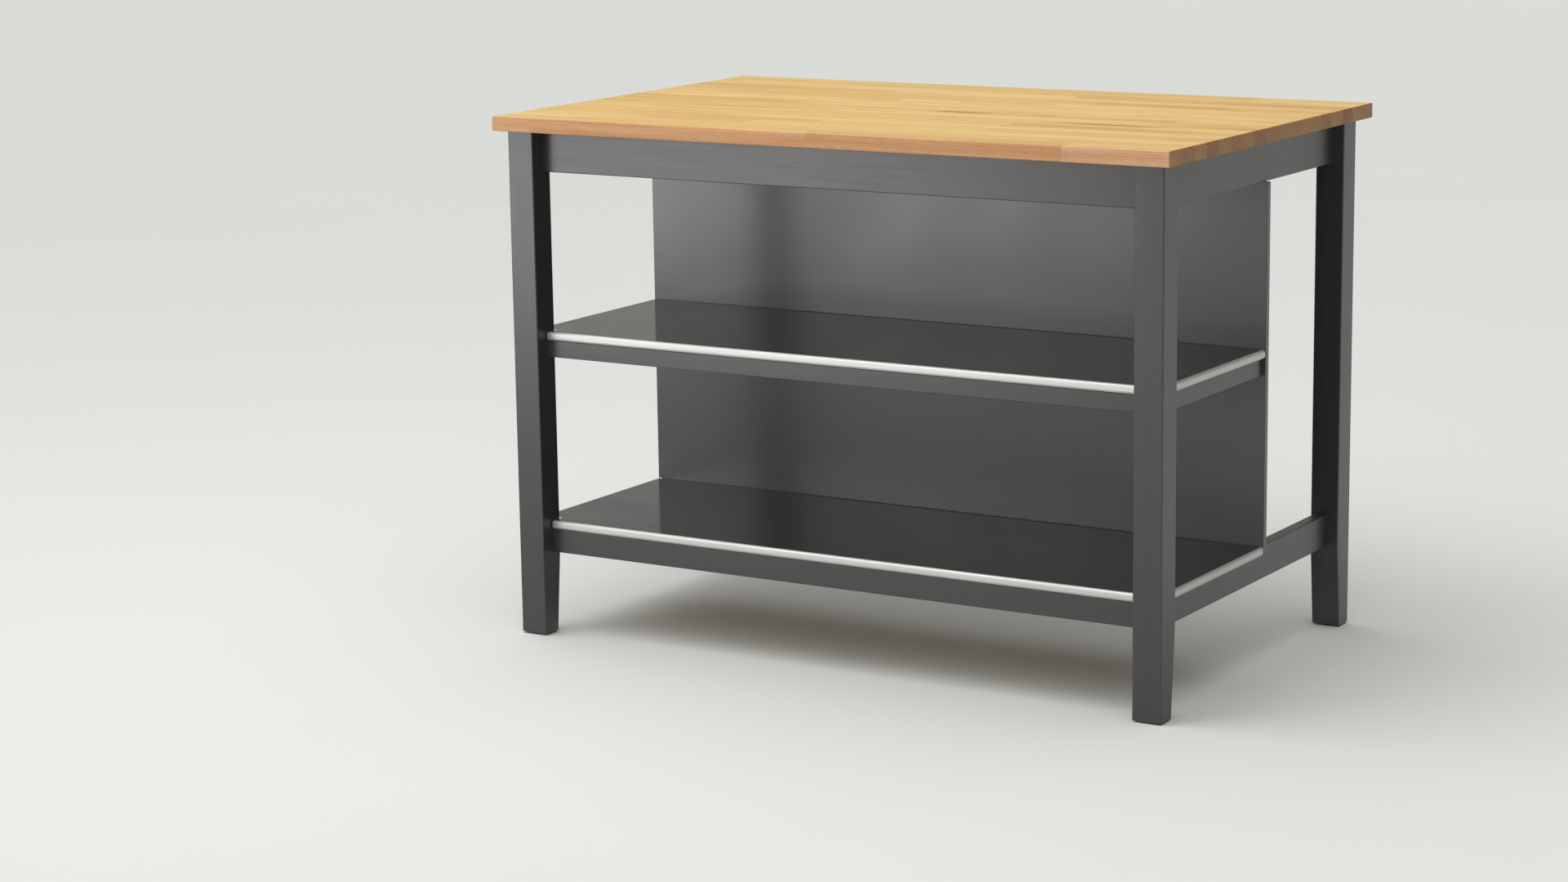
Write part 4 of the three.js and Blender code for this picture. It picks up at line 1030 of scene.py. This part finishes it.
def sky(settings):
    """A broad soft light overhead, leaning to the front left, over a faint even one."""
    world = bpy.data.worlds.new("studio_sky")
    world.use_nodes = True
    tree = world.node_tree
    tree.nodes.clear()
    direction = add(tree, "ShaderNodeTexCoord").outputs["Generated"]
    lean = Vector(settings.sky_lean).normalized()
    both = {0: direction, 1: lean}
    towards = add(tree, "ShaderNodeVectorMath", both, operation="DOT_PRODUCT")
    inputs = {
        "Value": towards, "From Min": 0.2, "From Max": 1.0,
        "To Min": settings.sky_even, "To Max": settings.sky_peak,
    }
    strength = add(tree, "ShaderNodeMapRange", inputs, interpolation_type="SMOOTHSTEP")
    shining = {"Color": "#fbfbfa", "Strength": strength}
    light = add(tree, "ShaderNodeBackground", shining)
    add(tree, "ShaderNodeOutputWorld", {"Surface": light.outputs[0]})
    bpy.context.scene.world = world


def camera(settings):
    """A long lens on the target, from the front right and a little above the top."""
    turn, rise, lean = settings.azimuth, settings.elevation, settings.roll
    level = Vector((math.sin(turn), -math.cos(turn), 0.0))
    back = level * math.cos(rise) + Vector((0.0, 0.0, math.sin(rise)))
    right = Vector((math.cos(turn), math.sin(turn), 0.0))
    up = back.cross(right)
    leaning_right = right * math.cos(lean) - up * math.sin(lean)
    leaning_up = right * math.sin(lean) + up * math.cos(lean)
    data = bpy.data.cameras.new("camera")
    data.lens = settings.lens
    data.clip_end = 100.0
    seen = bpy.data.objects.new("camera", data)
    turned = Matrix((leaning_right, leaning_up, back)).transposed().to_4x4()
    place = Vector(settings.target) + back * settings.distance
    seen.matrix_world = Matrix.Translation(place) @ turned
    bpy.context.scene.collection.objects.link(seen)
    bpy.context.scene.camera = seen


class TABLE_OT_stage(bpy.types.Operator):
    """Make the pale room, the softboxes and the camera"""

    bl_idname = "table.stage"
    bl_label = "Stage"

    def execute(self, context):
        settings = context.scene.table_stage
        context.scene.view_settings.view_transform = "Standard"
        room(settings)
        sky(settings)
        softbox("front_card", settings.card_power)
        softbox("overhead_softbox", settings.overhead_power)
        camera(settings)
        return {"FINISHED"}


# ------------------------------------------------------------------ add-on


OPERATORS = (
    TABLE_OT_worktop, TABLE_OT_wooden_frame, TABLE_OT_back_panel, TABLE_OT_shelves,
    TABLE_OT_fittings, TABLE_OT_stage,
)
SETTINGS = {
    "table_worktop": TableWorktop, "table_frame": TableFrame, "table_shelves": TableShelves,
    "table_fittings": TableFittings, "table_stage": TableStage,
}


class TABLE_PT_build(bpy.types.Panel):
    """Lists the operators that build the table"""

    bl_idname = "TABLE_PT_build"
    bl_label = "Butcher block table"
    bl_space_type = "VIEW_3D"
    bl_region_type = "UI"
    bl_category = "Table"

    def draw(self, context):
        for operator in OPERATORS:
            self.layout.operator(operator.bl_idname)


def register():
    for kind in (*SETTINGS.values(), *OPERATORS, TABLE_PT_build):
        bpy.utils.register_class(kind)
    for name, kind in SETTINGS.items():
        setattr(bpy.types.Scene, name, PointerProperty(type=kind))


def unregister():
    for name in SETTINGS:
        delattr(bpy.types.Scene, name)
    for kind in reversed((*SETTINGS.values(), *OPERATORS, TABLE_PT_build)):
        bpy.utils.unregister_class(kind)


def main():
    register()
    bpy.ops.table.worktop()
    bpy.ops.table.wooden_frame()
    bpy.ops.table.back_panel()
    bpy.ops.table.shelves()
    bpy.ops.table.fittings()
    bpy.ops.table.stage()


if __name__ == "__main__":
    main()
